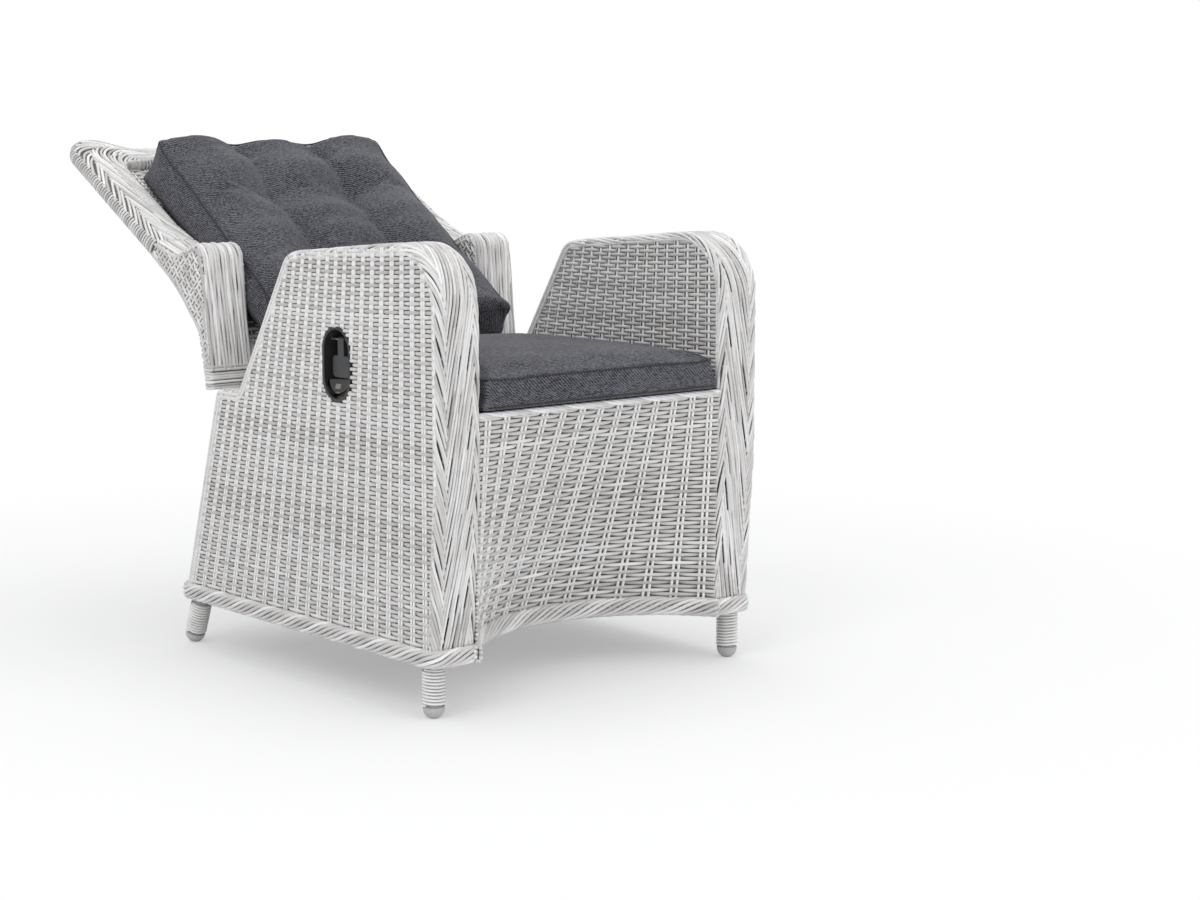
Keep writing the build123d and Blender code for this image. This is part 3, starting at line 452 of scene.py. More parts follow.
# Strands
@dataclass
class Strands:
    """Many strands that are gathered into one piece.

    Lines are in metres in the shared frame; every strand has its own tone from 0, taupe, to 1, near-white.
    """

    name: str
    body: str
    radius: float
    seed: int
    middle: float = 0.8
    spread: float = 0.12
    lines: list[Array] = field(default_factory=list)
    tones: list[Array] = field(default_factory=list)
    rings: list[bool] = field(default_factory=list)

    def __post_init__(self) -> None:
        """Start the piece's own random order."""
        self.random = np.random.default_rng(self.seed)

    def tone(self) -> float:
        """The next strand's own tone."""
        return float(np.clip(self.random.normal(self.middle, self.spread), 0, 1))

    def add(self, line: Array, tone: Array | float | None = None, ring: bool = False) -> None:
        """Add one strand along a line of points, with one tone or one per point."""
        tone = np.broadcast_to(self.tone() if tone is None else tone, len(line))
        apart = np.concatenate([[True], np.linalg.norm(np.diff(line, axis=0), axis=1) > CLOSE])
        if np.count_nonzero(apart) < 2:
            return
        self.lines.append(line[apart])
        self.tones.append(tone[apart])
        self.rings.append(ring)

    def lay(self, surface: Surface, normal: Surface, a: Array, b: Array, height: Array | float,
            mask: Mask | None = None, glow: Array | float = 0.0) -> None:
        """Add a strand over a surface, cut exactly where a mask hides it.

        Args:
            surface: stations in millimetres (x, y, z) of (a, b).
            normal: outward unit vectors of (a, b).
            a: places across the surface.
            b: places along the surface.
            height: how far the strand's middle lies out of the surface.
            mask: where the surface shows, all of it if left out.
            glow: painted light and shade added to the strand's tone at each point.
        """
        a, b, height, glow = np.broadcast_arrays(np.asarray(a, float), b, height, glow)
        index = np.arange(len(a), dtype=float)
        tone = self.tone()
        for run in [index] if mask is None else self.shown_runs(mask, a, b, index):
            ra, rb, rh, rg = (np.interp(run, index, values) for values in (a, b, height, glow))
            points = surface(ra, rb) + normal(ra, rb) * rh[..., None]
            self.add(place(*points.T), np.clip(tone + rg, 0, 1))

    @staticmethod
    def shown_runs(mask: Mask, a: Array, b: Array, index: Array) -> list[list[float]]:
        """The stretches of a line that a mask shows, as places along its points."""
        runs: list[list[float]] = []
        run: list[float] = []
        shown = mask(a, b)
        for i, seen in enumerate(shown):
            if i and seen != shown[i - 1]:
                inside, outside = (i - 1.0, float(i)) if shown[i - 1] else (float(i), i - 1.0)
                for _ in range(6):
                    half = (inside + outside) / 2
                    if mask(np.interp(half, index, a), np.interp(half, index, b)):
                        inside = half
                    else:
                        outside = half
                run.append(inside)
                if not seen:
                    runs.append(run)
                    run = []
            if seen:
                run.append(float(i))
        return [*runs, run] if run else runs

    def build(self, finishes: Finishes, slot: str = "weave", node: str = "", look: str = "wicker_strand") -> None:
        """Turn the strands into one closed mesh object that rides on its body.

        Args:
            finishes: the chair's materials.
            slot: not used.
            node: the CAD node that the piece stands for, if any.
            look: the finish.
        """
        curve = bpy.data.curves.new(self.name, "CURVE")
        curve.dimensions = "3D"
        curve.bevel_depth = self.radius * MM
        curve.bevel_resolution = 1
        curve.use_fill_caps = False
        for line, ring in zip(self.lines, self.rings):
            spline = curve.splines.new("POLY")
            spline.points.add(len(line) - 1)
            spline.points.foreach_set("co", np.c_[line, np.ones(len(line))].astype(np.float32).ravel())
            spline.use_cyclic_u = ring
        holder = linked(self.name + "_line", curve)
        graph = bpy.context.evaluated_depsgraph_get()
        mesh = bpy.data.meshes.new_from_object(holder.evaluated_get(graph))
        bpy.data.objects.remove(holder)
        bpy.data.curves.remove(curve)
        mesh.name = self.name
        sides = len(mesh.vertices) // sum(len(line) for line in self.lines)
        values = np.repeat(np.concatenate(self.tones), sides).astype(np.float32)
        mesh.attributes.new("tone", "FLOAT", "POINT").data.foreach_set("value", values)
        smooth_faces(mesh)
        shape = bmesh.new()
        shape.from_mesh(mesh)
        bmesh.ops.holes_fill(shape, edges=[edge for edge in shape.edges if edge.is_boundary], sides=0)
        shape.to_mesh(mesh)
        shape.free()
        mesh.materials.clear()
        finishes.piece(linked(self.name, mesh), look, self.body, slot, node)
        log.info("%s: %d strands, %d faces", self.name, len(self.lines), len(mesh.polygons))


@dataclass(frozen=True)
class PlainWeave:
    """Weavers that pass over and under pairs of bright stakes. Lengths are in millimetres.

    `bends` gives, from the middle of an over place to the middle of an under place, how far up the weaver is.
    `radii` and `tones` (middle and spread) are the weavers' and the stakes'.
    """

    row_pitch: float = 6.45
    stake_pitch: float = 30.5
    stake_apart: float = 6.2
    over: float = 0.9
    under: float = -4.4
    stake_height: float = 0.1
    # Painted light and shade: weavers are made lighter where they ride out over the stakes and darker where they dive
    # under
    glow: float = 0.26
    radii: Pair = (2.9, 2.5)
    tones: tuple[Pair, Pair] = ((0.42, 0.12), STAKE_TONE)
    bends: Points = ((0, 1), (0.34, 1), (0.56, 0.84), (0.70, 0.52), (0.82, 0.14), (1, 0))

    def course(self, columns: int, parity: int) -> tuple[Array, Array]:
        """Places and heights along one row, counted in columns."""
        falling, rising = self.bends[:-1], [(1 - f, h) for f, h in reversed(self.bends)][:-1]
        places, heights = [], []
        for k in range(-1, columns + 1):
            for f, h in falling if (k + parity) % 2 == 0 else rising:
                places.append(k + f)
                heights.append(self.under + (self.over - self.under) * h)
        return np.array(places), np.array(heights)

    def build(self, finishes: Finishes, name: str, body: str, seeds: tuple[int, int], surface: Surface,
              normal: Surface, across: Pair, along: Pair,
              mask: Mask | None = None, node: str = "") -> None:
        """Weave a surface with rows along a and stakes along b, as a piece of weavers and one of stakes.

        Args:
            finishes: the chair's materials.
            name: how both pieces' names begin.
            body: the CAD body that they ride on.
            seeds: the weavers' and the stakes' seed.
            surface: stations in millimetres (x, y, z) of (a, b).
            normal: outward unit vectors of (a, b).
            across: the first and last a.
            along: the first and last b.
            mask: where the weave shows, all of it if left out.
            node: the CAD node that the weavers stand for, if any.
        """
        weavers = Strands(name + "_weavers", body, self.radii[0], seeds[0], *self.tones[0])
        stakes = Strands(name + "_stakes", body, self.radii[1], seeds[1], *self.tones[1])
        columns = max(2, round((across[1] - across[0]) / self.stake_pitch))
        pitch = (across[1] - across[0]) / columns
        rows = max(2, round((along[1] - along[0]) / self.row_pitch))
        ends = np.array([-0.5, columns - 0.5])
        for j in range(rows):
            places, heights = self.course(columns, j % 2)
            phase = np.concatenate([ends[:1], places[(places > ends[0]) & (places < ends[1])], ends[1:]])
            a = across[0] + (phase + 0.5) * pitch
            b = along[0] + (j + 0.5) * (along[1] - along[0]) / rows
            height = np.interp(phase, places, heights)
            share = (height - self.under) / (self.over - self.under)
            # Painted light and shade: the weaver's tone rises with how far out it rides
            weavers.lay(surface, normal, a, b, height, mask, self.glow * (share - 0.6))
        b = np.linspace(along[0], along[1], 28)
        for k in range(columns):
            for shift in (-self.stake_apart / 2, self.stake_apart / 2):
                a = across[0] + (k + 0.5) * pitch + shift
                stakes.lay(surface, normal, np.full_like(b, a), b, self.stake_height, mask)
        weavers.build(finishes, "weave", node)
        stakes.build(finishes)


@dataclass(frozen=True)
class Braid:
    """A band of slanting strands in columns, in groups with small dark gaps. Lengths are in millimetres.

    Each column has the a at which its strands start and stop, and how far they go along the band.
    """

    columns: tuple[tuple[float, float, float], ...]
    period: float
    spacing: float
    group: int = 3
    over: float = 0.7
    dive: float = 1.7
    points: int = 12

    def build(self, strands: Strands, surface: Surface, normal: Surface, along: Pair) -> None:
        """Lay the band over a surface whose a runs across and b along it."""
        share = np.linspace(0, 1, self.points)
        for number, (start, stop, advance) in enumerate(self.columns):
            first = along[0] - abs(advance) - self.period * (1 - 0.37 * number % 1)
            for i in range(int((along[1] - first + abs(advance)) / self.period)):
                for g in range(self.group):
                    sway, lift = strands.random.normal(0, (1.0, 0.25))
                    a = start + (stop - start) * share + sway * np.sin(np.pi * share)
                    b = first + i * self.period + g * self.spacing + advance * share
                    height = self.over + lift - self.dive * np.abs(2 * share - 1) ** 5 - 0.4 * g
                    strands.lay(surface, normal, a, b, height, lambda a, b: (b >= along[0]) & (b <= along[1]))


def flat(normal: Sequence[float]) -> Surface:
    """The same outward direction everywhere."""
    fixed = np.array(normal, float)
    return lambda a, b: np.broadcast_to(fixed, (*np.broadcast(a, b).shape, 3))



def lay_rope(finishes: Finishes, name: str, seed: int, track: Track, section: tuple[float, float, float],
             node: str, lay: float = 150.0, plies: int = 9) -> None:
    """Twist strands round a level line into an oval rope.

    Args:
        finishes: the chair's materials.
        name: the piece's name.
        seed: its seed.
        track: the rope's middle line in plan, in millimetres.
        section: the middle's height, half of the rope's height and half of its depth.
        node: the CAD node that the rope stands for.
        lay: the length of one whole turn.
        plies: how many strands.
    """
    rope = Strands(name, "base", 3.0, seed, 0.62, 0.16)
    z, half_h, half_w = section
    s = np.linspace(0, track.length, max(8, int(track.length / 5)))
    at, side = track.at(s), -track.left(s, 6.0)
    reach_h, reach_w = half_h - rope.radius, half_w - rope.radius
    for k in range(plies):
        turn = 2 * np.pi * (s / lay + k / plies)
        line = np.c_[at + side * (reach_w * np.cos(turn))[:, None], z + reach_h * np.sin(turn)]
        rope.add(place(*line.T))
    rope.build(finishes, "braid", node)


def bind_edge(name: str, body: str, finishes: Finishes, half: float, y: Array | float, z: float) -> None:
    """Bind a level edge across the chair with four twisted strands.

    Args:
        name: the piece's name.
        body: the CAD body that it rides on.
        finishes: the chair's materials.
        half: half of its length.
        y: its station back, one or one per point.
        z: its height.
    """
    x = np.linspace(-half, half, BOUND_POINTS)
    edge = Strands(name, body, 2.7, 63, 0.68, 0.1)
    for k in range(4):
        turn = 2 * np.pi * (x / 74 + k / 4)
        edge.add(place(x, y + 2.4 * np.cos(turn), z + 2.4 * np.sin(turn)))
    edge.build(finishes, "braid")


@dataclass
class Edge:
    """A band over the edge of an arm or a wing that also turns round its two corners. Millimetres.

    a runs across the band from its inner side to its outer side, and b along the edge.
    """

    side: Side
    line: Track
    out: float = 1.0
    turned: float = 10.5
    corner: float = 5.0

    def __post_init__(self) -> None:
        """Work out the section."""
        points = ((INNER_X, -self.turned), (INNER_X, 0), (OUTER_X, 0), (OUTER_X, -self.turned))
        self.section = Track.through(points, (0, self.corner, self.corner, 0))

    @property
    def width(self) -> float:
        """The width round both corners."""
        return self.section.length

    def surface(self, a: Array, b: Array) -> Array:
        """Stations over the band."""
        a, b = matched(a, b)
        cut = self.section.at(a)
        at = self.line.at(b) + self.line.left(b, 6.0) * self.out * cut[..., 1:]
        return np.stack([self.side.value * cut[..., 0], at[..., 0], at[..., 1]], -1)

    def normal(self, a: Array, b: Array) -> Array:
        """Outward directions over the band."""
        a, b = matched(a, b)
        cut = self.section.left(a, 1.5)
        away = self.line.left(b, 6.0) * self.out * cut[..., 1:]
        return np.stack([self.side.value * cut[..., 0], away[..., 0], away[..., 1]], -1)


# Sub-assemblies
@dataclass
class Arm:
    """One woven arm with its braided front and top and its rope border. Millimetres, from the side."""

    side: Side
    finishes: Finishes
    depth: float = 672.0
    stake_columns: int = 22
    front: Points = ((FRONT_FOOT_Y, FOOT_Z), (0, 330), (0, 686), (371, 656))
    rear: Points = ((515, 430), (578, 430), (REAR_FOOT_Y, FOOT_Z))
    radii: tuple[float, ...] = (0, 300, 90, 35, 12, 8, 0)
    lever: tuple[float, float, float, float] = (243.5, 497.0, 36.3, 56.8)
    v_line: float = 68.0

    def __post_init__(self) -> None:
        """Work out the outline."""
        self.name = f"arm{self.side.suffix}"
        self.outline = rounded(self.front + self.rear, self.radii)
        self.edge = Edge(self.side, Track.through(self.front + self.rear, self.radii))
        self.low = self.outline + (self.outline.mean(axis=0) - self.outline) * 0.016

    def stations(self, a: Array, b: Array, x: float) -> Array:
        """Side face stations: a is the distance back at the floor edge, b the height."""
        a, b = matched(a, b)
        back = a - FRONT_FOOT_Y
        share = np.clip(back / self.depth, 0, 1)
        y = a - REAR_LEAN * share * (0.7 + 0.3 * share) * (b - FOOT_Z)
        # The rows are level at the foot and follow the sloping top, 30 mm over 371, above
        rise = np.clip((b - 430) / 250, 0, 1) * np.clip(1 - back / 900, 0, 1)
        z = b - rise * np.clip(y, 0, None) * 30 / 371
        return np.stack([np.full_like(y, x), y, z], -1)

    def shown(self, a: Array, b: Array, x: float) -> Array:
        """Where a side face is woven: inside the outline, clear of the lever's cup."""
        at = self.stations(a, b, x)
        inside = within(self.low, at[..., 1], at[..., 2])
        if self.side is Side.RIGHT and abs(x) > INNER_X + 1:
            y, z, half_w, half_h = self.lever
            off = np.clip(np.abs(at[..., 2] - z) - (half_h - half_w), 0, None)
            inside = inside & (np.hypot(at[..., 1] - y, off) > half_w)
        return inside

    def build_faces(self) -> None:
        """Weave the outer and the inner side face."""
        sign, pitch = self.side.value, self.depth / self.stake_columns
        across = (FRONT_FOOT_Y - pitch, FRONT_FOOT_Y + self.depth)
        for word, x, out, seeds, over in (("outer", OUTER_X, 1, (11, 31), 0.9), ("inner", INNER_X, -1, (12, 32), -0.5)):
            PlainWeave(over=over, under=over - 5.3, stake_height=over - 0.8).build(
                self.finishes, f"{self.name}_{word}", "base", seeds, partial(self.stations, x=sign * x),
                flat((sign * out, 0, 0)), across, (FOOT_Z + 14, 700), partial(self.shown, x=sign * x),
                f"arm_weave{self.side.suffix}")

    def bent(self, a: Array, b: Array) -> Array:
        """Places across the front band, whose V line moves to the middle over the top."""
        wide, line = self.edge.width, self.v_line - 12 * smooth_share(b, 560, 780)
        outer = wide - (wide - a) * (wide - line) / (wide - self.v_line)
        return np.where(a < self.v_line, a * line / self.v_line, outer)

    def build_edges(self) -> None:
        """Braid the front and top, and bind the corners."""
        edge, wide = self.edge, self.edge.width
        end = edge.line.near(self.front[-1][0])
        front = Strands(self.name + "_front_braid", "base", 2.35, 31, 0.62, 0.17)
        columns = ((72.0, 47.0, 124.0), (54.0, 31.0, 124.0), (39.0, 16.0, 124.0), (1.0, 22.0, 112.0))
        for braid in (Braid(((65.0, wide - 1.0, 84.0),), 48.0, 15.4), Braid(columns, 86.0, 27.0)):
            braid.build(front, lambda a, b: edge.surface(self.bent(a, b), b),
                        lambda a, b: edge.normal(self.bent(a, b), b), (24, end + 18))
        front.build(self.finishes, "braid", f"arm_edging{self.side.suffix}")
        corners = Strands(self.name + "_corner_strands", "base", 2.7, 32, 0.74, 0.06)
        for a, start in ((1.5, 30), (7.5, end - 30), (wide - 7.5, end - 30), (wide - 1.5, 30)):
            b = np.linspace(start, edge.line.length - 4, 260)
            height = -0.6 + 2.3 * smooth_share(b, end - 40, end + 20)
            corners.lay(edge.surface, edge.normal, np.full_like(b, a), b, height)
        corners.build(self.finishes, "braid")

    def build_rear(self) -> None:
        """Weave the arm's slanted rear edge faces."""
        line = self.edge.line
        along = (line.near(384), line.length - 4)
        PlainWeave(radii=(2.8, 2.5)).build(self.finishes, self.name + "_rear", "base", (41, 42), self.edge.surface,
                                           self.edge.normal, (8.5, self.edge.width - 8.5), along)

    def build_rope(self) -> None:
        """Lay the rope border round the arm's foot."""
        x0, x1 = INNER_X - 2, OUTER_X + 3.5
        path = rounded(((x0 + 24, 30), (x0, 30), (x0, 12.5), (x1, 12.5), (x1, 695), (x0, 695), (x0, 680)),
                       (0, 8, 8, 14, 14, 8, 0), closed=False)
        track = Track(np.c_[self.side.value * path[:, 0], path[:, 1]])
        lay_rope(self.finishes, f"border{self.side.suffix}_rope", 51, track, (91.0, 14.0, 7.0),
                 f"border_side{self.side.suffix}")

    def build(self) -> None:
        """Build the whole arm."""
        core(f"arm_weave{self.side.suffix}", 1.8, self.finishes, "base")
        self.build_faces()
        self.build_edges()
        self.build_rear()
        self.build_rope()


@dataclass
class SeatBase:
    """The woven front and rear of the seat, and their rope borders. Millimetres."""

    finishes: Finishes
    half: float = 237.2
    top_z: float = 440.0
    low_z: float = 104.3
    top_bow: Pair = (3.0, 5.0)
    low_bow: Pair = (10.0, 150.0)
    weave: PlainWeave = PlainWeave(stake_pitch=36.5, stake_apart=7.2)

    def bow(self, share: Array, side_y: float, middle_y: float) -> Array:
        """Plan points on the circle through both sides and the middle, by the share of its angle."""
        deep = middle_y - side_y
        radius = (self.half**2 + deep**2) / (2 * deep)
        angle = math.asin(self.half / radius) * np.asarray(share, float)
        return np.stack([radius * np.sin(angle), middle_y - radius + radius * np.cos(angle)], -1)

    def front(self, a: Array, b: Array) -> Array:
        """Stations on the hollowed front: a across at the top, b the height."""
        a, b = matched(a, b)
        down = ((self.top_z - b) / (self.top_z - self.low_z))[..., None]
        top, low = self.bow(a / self.half, *self.top_bow), self.bow(a / self.half, *self.low_bow)
        return np.concatenate([top + (low - top) * down, b[..., None]], -1)

    def front_out(self, a: Array, b: Array) -> Array:
        """Outward directions on the front."""
        step = 0.5
        du = self.front(a + step, b) - self.front(a - step, b)
        dv = self.front(a, b + step) - self.front(a, b - step)
        out = np.cross(du, dv)
        return out / np.linalg.norm(out, axis=-1, keepdims=True)

    def build_front(self) -> None:
        """Weave the front, bind its top edge and lay its border."""
        core("front_panel", 1.8, self.finishes, "base")
        replace(self.weave, tones=((0.42, 0.13), STAKE_TONE)).build(
            self.finishes, "front", "base", (61, 62), self.front, self.front_out, (-237, 237),
            (self.low_z - 2, self.top_z - 6), node="front_panel")
        top = self.bow(np.linspace(-1, 1, BOUND_POINTS), *self.top_bow)[:, 1] + 0.5
        bind_edge("front_top_edge", "base", self.finishes, self.half, top, 435.5)
        line = self.bow(np.linspace(-1.02, 1.02, 80), *self.low_bow)
        lay_rope(self.finishes, "border_front_rope", 64, Track(line - (0, 2.0)), (92.0, 15.0, 7.5), "border_front")

    def build_rear(self) -> None:
        """Weave the slanted rear and lay its border."""
        core("rear_panel", 1.8, self.finishes, "base")
        slant = math.hypot(1, REAR_LEAN)

        def rear(a: Array, b: Array) -> Array:
            """Stations on the rear: a across, b the height."""
            a, b = matched(a, b)
            return np.stack([a, REAR_FOOT_Y - (b - FOOT_Z) * REAR_LEAN - 4 * slant, b], -1)

        self.weave.build(self.finishes, "rear", "base", (71, 72), rear, flat((0, 1 / slant, REAR_LEAN / slant)),
                         (-236.5, 236.5), (self.low_z - 2, 356), node="rear_panel")
        bind_edge("rear_edge_strands", "base", self.finishes, self.half, float(rear(0, 358.0)[1]) - 2.5, 357.5)
        ends = np.array(((self.half, 693.0), (-self.half, 693.0)))
        track = Track(np.linspace(*ends, 120))
        lay_rope(self.finishes, "border_rear_rope", 73, track, (91.5, 14.5, 7.0), "border_rear")

    def build(self) -> None:
        """Build the woven seat base."""
        self.build_front()
        self.build_rear()


@dataclass
class Backrest:
    """The woven back panel, its rim and its wings. Millimetres; u runs up its rear face, v out of it."""

    finishes: Finishes
    origin: Pair = (710.5, 598.0)
    slope: float = math.radians(29.6)
    wing_turn: float = math.radians(50)
    rim_width: float = OUTER_X - INNER_X
    rim_foot: float = 75.0
    rim_thick: Pair = (20.0, 27.0)
    panel_half: float = 236.0

    def at(self, x: Array, u: Array, v: Array) -> Array:
        """Stations of a point in the backrest's own frame."""
        c, s = math.cos(self.slope), math.sin(self.slope)
        x, u, v = np.broadcast_arrays(x, u, v)
        return np.stack([x, self.origin[0] + u * c - v * s, self.origin[1] + u * s + v * c], -1)

    @property
    def out(self) -> Array:
        """The direction out of the front of the back."""
        return np.array([0.0, -math.sin(self.slope), math.cos(self.slope)])

    def side_point(self, u: float, v: float) -> Pair:
        """The side view stations of a point in the backrest's own frame."""
        at = self.at(0.0, u, v)
        return float(at[1]), float(at[2])

    def build_panel(self) -> None:
        """Weave the sheet inside the rim, down to the lower bar."""
        core("back_panel", 1.5, self.finishes, "backrest")
        corners = (self.side_point(342, 0), self.side_point(-6, 0), (628, 515), (617.0, 485.0))
        track = Track.through(corners, (0, 150, 90, 0))

        def rear(a: Array, b: Array) -> Array:
            """Stations on the rear face: a across, b down from the top."""
            a, b = matched(a, b)
            at = track.at(b)
            return np.stack([a, at[..., 0], at[..., 1]], -1)

        def rear_out(a: Array, b: Array) -> Array:
            """Outward directions on the rear face."""
            away = -track.left(matched(a, b)[1], 5.0)
            return np.stack([np.zeros(away.shape[:-1]), away[..., 0], away[..., 1]], -1)

        half, end = self.panel_half, track.length - 14.0
        weave = PlainWeave(stake_pitch=33.0, over=0.2, under=-4.6, stake_height=-1.2, radii=(2.9, 2.4))
        weave.build(self.finishes, "back", "backrest", (81, 82), rear, rear_out, (-half, half), (2, end),
                    node="back_panel")
        y, z = track.at(end)
        bind_edge("back_panel_edge", "backrest", self.finishes, half, float(y) - 1.0, float(z))
        replace(weave, radii=(2.7, 2.3)).build(
            self.finishes, "back_front", "backrest", (83, 84), lambda a, b: self.at(a, b, 4.0), flat(self.out),
            (-half, half), (222, 343))

    def rim_map(self, side: Side) -> tuple[Surface, float]:
        """Half of the rim's face: a from its outer edge in, b the length up and over to the middle."""
        corners = ((OUTER_X, self.rim_foot), (OUTER_X, 418), (250, 418), (200, 388), (0, 388))
        outer = Track.through(corners, (0, 46, 36, 36, 0))
        inner = Track.through(((INNER_X, self.rim_foot), (INNER_X, 345), (0, 345)), (0, 30, 0))

        def knots(track: Track, spots: Sequence[Pair]) -> Array:
            """Distances along a line that are nearest to the given spots."""
            near = np.linspace(0, track.length, 3000)
            found = track.at(near)
            return np.array([near[np.argmin(np.hypot(*(found - spot).T))] for spot in spots])

        out_s = knots(outer, ((OUTER_X, self.rim_foot), (OUTER_X, 340), (298, 405), (262, 418), (215, 392), (0, 388)))
        in_s = knots(inner, ((INNER_X, self.rim_foot), (INNER_X, 315), (229, 336), (207, 345), (190, 345), (0, 345)))

        def face(a: Array, b: Array) -> Array:
            """Plan points (x, u) on the rim."""
            a, b = matched(a, b)
            edge = outer.at(b)
            plan = edge + (inner.at(np.interp(b, out_s, in_s)) - edge) * a[..., None] / self.rim_width
            return plan * (side.value, 1)

        return face, outer.length

    def thick(self, u: Array) -> Array:
        """How thick the rim is at u."""
        top, foot = self.rim_thick
        return top + (foot - top) * np.clip((self.rim_foot + 60 - u) / 60, 0, 1)

    def build_rim(self, side: Side) -> None:
        """Braid half of the rim's front and rear, and loop its edges."""
        face, length = self.rim_map(side)

        def skin(a: Array, b: Array, share: float) -> Array:
            """Stations on the rear face (share 0) or the front face (share 1)."""
            plan = face(a, b)
            return self.at(plan[..., 0], plan[..., 1], share * self.thick(plan[..., 1]))

        front = Braid(((2.0, 26.0, 70.0), (50.0, 24.0, 96.0), (72.0, 48.0, 96.0)), 60.0, 18.5)
        rear = Braid(((2.0, 38.0, 100.0), (72.0, 36.0, 100.0)), 50.0, 15.0)
        for word, braid, share, out, seed, tone, node in (
                ("_braid", front, 1.0, self.out, 91, (0.6, 0.18), "back_rim"),
                ("_rear_braid", rear, 0.0, -self.out, 92, (0.55, 0.16), "")):
            strands = Strands(f"rim{side.suffix}{word}", "backrest", 2.5, seed, *tone)
            braid.build(strands, partial(skin, share=share), flat(out), (0, length))
            strands.build(self.finishes, "braid", node)
        loops = Strands(f"rim{side.suffix}_loops", "backrest", 2.3, 93, 0.5, 0.18)
        turn = np.linspace(0, np.pi, 8)
        for edge in (0.0, self.rim_width):
            for b in np.arange(4, length - 5, 7.0):
                near = face(np.full_like(turn, edge), b + 5.0 * turn / np.pi)
                away = near - face(np.full_like(turn, self.rim_width / 2), b + 5.0 * turn / np.pi)
                away /= np.linalg.norm(away, axis=-1, keepdims=True)
                plan = near + away * (5.0 * np.sin(turn)[:, None] - 4.0)
                v = self.thick(plan[:, 1]) / 2 * (1 + 1.04 * np.cos(turn))
                loops.add(place(*self.at(plan[:, 0], plan[:, 1], v).T))
        loops.build(self.finishes, "braid")

    def wing_edges(self) -> tuple[Sequence[Pair], Sequence[Pair]]:
        """The corners of a wing's front edge and of its rear edge, both from the foot up."""
        ends = [self.side_point(self.rim_foot, v) for v in (self.rim_thick[1], 0)]
        return (((595, 428), (620, 668), (697, 637), ends[0]),
                ((613, 428), (628, 515), self.side_point(-6, 0), ends[1]))

    def wing_face(self, a: Array, b: Array, x: float) -> Array:
        """Stations on a wing's side face, with the weave turned."""
        c, s = math.cos(self.wing_turn), math.sin(self.wing_turn)
        y, z = 650 + a * c - b * s, 550 + a * s + b * c
        return np.stack([np.full_like(y, x), y, z], -1)

    def build_wing(self, side: Side) -> None:
        """Weave one wing: crossed sides, a long-stranded front and rear and a wound foot."""
        name, sign = f"wing{side.suffix}", side.value
        core(name, 1.8, self.finishes, "backrest")
        front, rear = self.wing_edges()
        outline = rounded((*front, *rear[::-1]), (0, 25, 34, 0, 0, 150, 90, 0))
        low = outline + (outline.mean(axis=0) - outline) * 0.03

        def shown(a: Array, b: Array) -> Array:
            """Inside the outline and above the wound foot."""
            at = self.wing_face(a, b, 0.0)
            return within(low, at[..., 1], at[..., 2]) & (at[..., 2] > 462)

        crossed = PlainWeave(row_pitch=8.6, stake_pitch=17.0, stake_apart=6.6, over=0.3, under=-3.9,
                             stake_height=-0.4, radii=(2.5, 2.2), tones=((0.5, 0.16), (0.66, 0.12)))
        for word, x, out, seeds in (("outer", OUTER_X, 1, (101, 102)), ("inner", INNER_X, -1, (103, 104))):
            crossed.build(self.finishes, f"{name}_{word}", "backrest", seeds, partial(self.wing_face, x=sign * x),
                          flat((sign * out, 0, 0)), (-187, 187), (-180, 180), shown, name)
        self.wing_band(side, Track.through(front, (0, 25, 34, 0)), "_front_strands", 111, 1.0)
        self.wing_band(side, Track.through(rear, (0, 90, 150, 0)), "_rear_strands", 112, -1.0)
        self.wind_foot(side)

    def wing_band(self, side: Side, track: Track, word: str, seed: int, out: float) -> None:
        """Lay long strands along one edge face of a wing, leaning a little, in two layers."""
        edge = Edge(side, track, out, turned=9.0)
        strands = Strands(f"wing{side.suffix}{word}", "backrest", 2.9, seed, 0.64, 0.2)
        b = np.linspace(30, track.length, 60)
        share = (b - 30) / (track.length - 30)
        for layer, (lean, height, pitch) in enumerate(((13.0, 0.2, 6.4), (-24.0, -1.4, 7.6))):
            for k in range(int(edge.width / pitch) + 4):
                sway = strands.random.normal(0, (1.1, 0.35))
                a = (k - 1) * pitch - abs(lean) / 2 + lean * share + sway[0] * np.sin(3 * np.pi * share + k)
                rise = height + sway[1] + 0.5 * np.sin(4 * np.pi * share + 2.4 * k + layer)
                strands.lay(edge.surface, edge.normal, a, b, rise, lambda a, b: (a > 1.0) & (a < edge.width - 1.0))
        strands.build(self.finishes, "braid")

    def wind_foot(self, side: Side) -> None:
        """Wind the foot of a wing."""
        wraps = Strands(f"wing{side.suffix}_wraps", "backrest", 2.6, 113, 0.6, 0.14)
        x0, x1 = INNER_X - 1.0, OUTER_X + 1.0
        for z in np.arange(430.5, 468, 4.9):
            y0, y1 = 594 + (z - 428) * 25 / 240, 614 + (z - 428) * 15 / 87
            ring = rounded(((x0, y0), (x1, y0), (x1, y1), (x0, y1)), (6, 6, 6, 6))
            sway = wraps.random.normal(0, 0.6) * np.sin(np.linspace(0, 2 * np.pi, len(ring)))
            wraps.add(place(side.value * ring[:, 0], ring[:, 1], z + sway), ring=True)
        wraps.build(self.finishes, "braid", f"wing_wraps{side.suffix}")

    def build(self) -> None:
        """Build the woven backrest."""
        self.build_panel()
        core("back_rim", 1.2, self.finishes, "backrest")
        for side in Side:
            self.build_rim(side)
            self.build_wing(side)


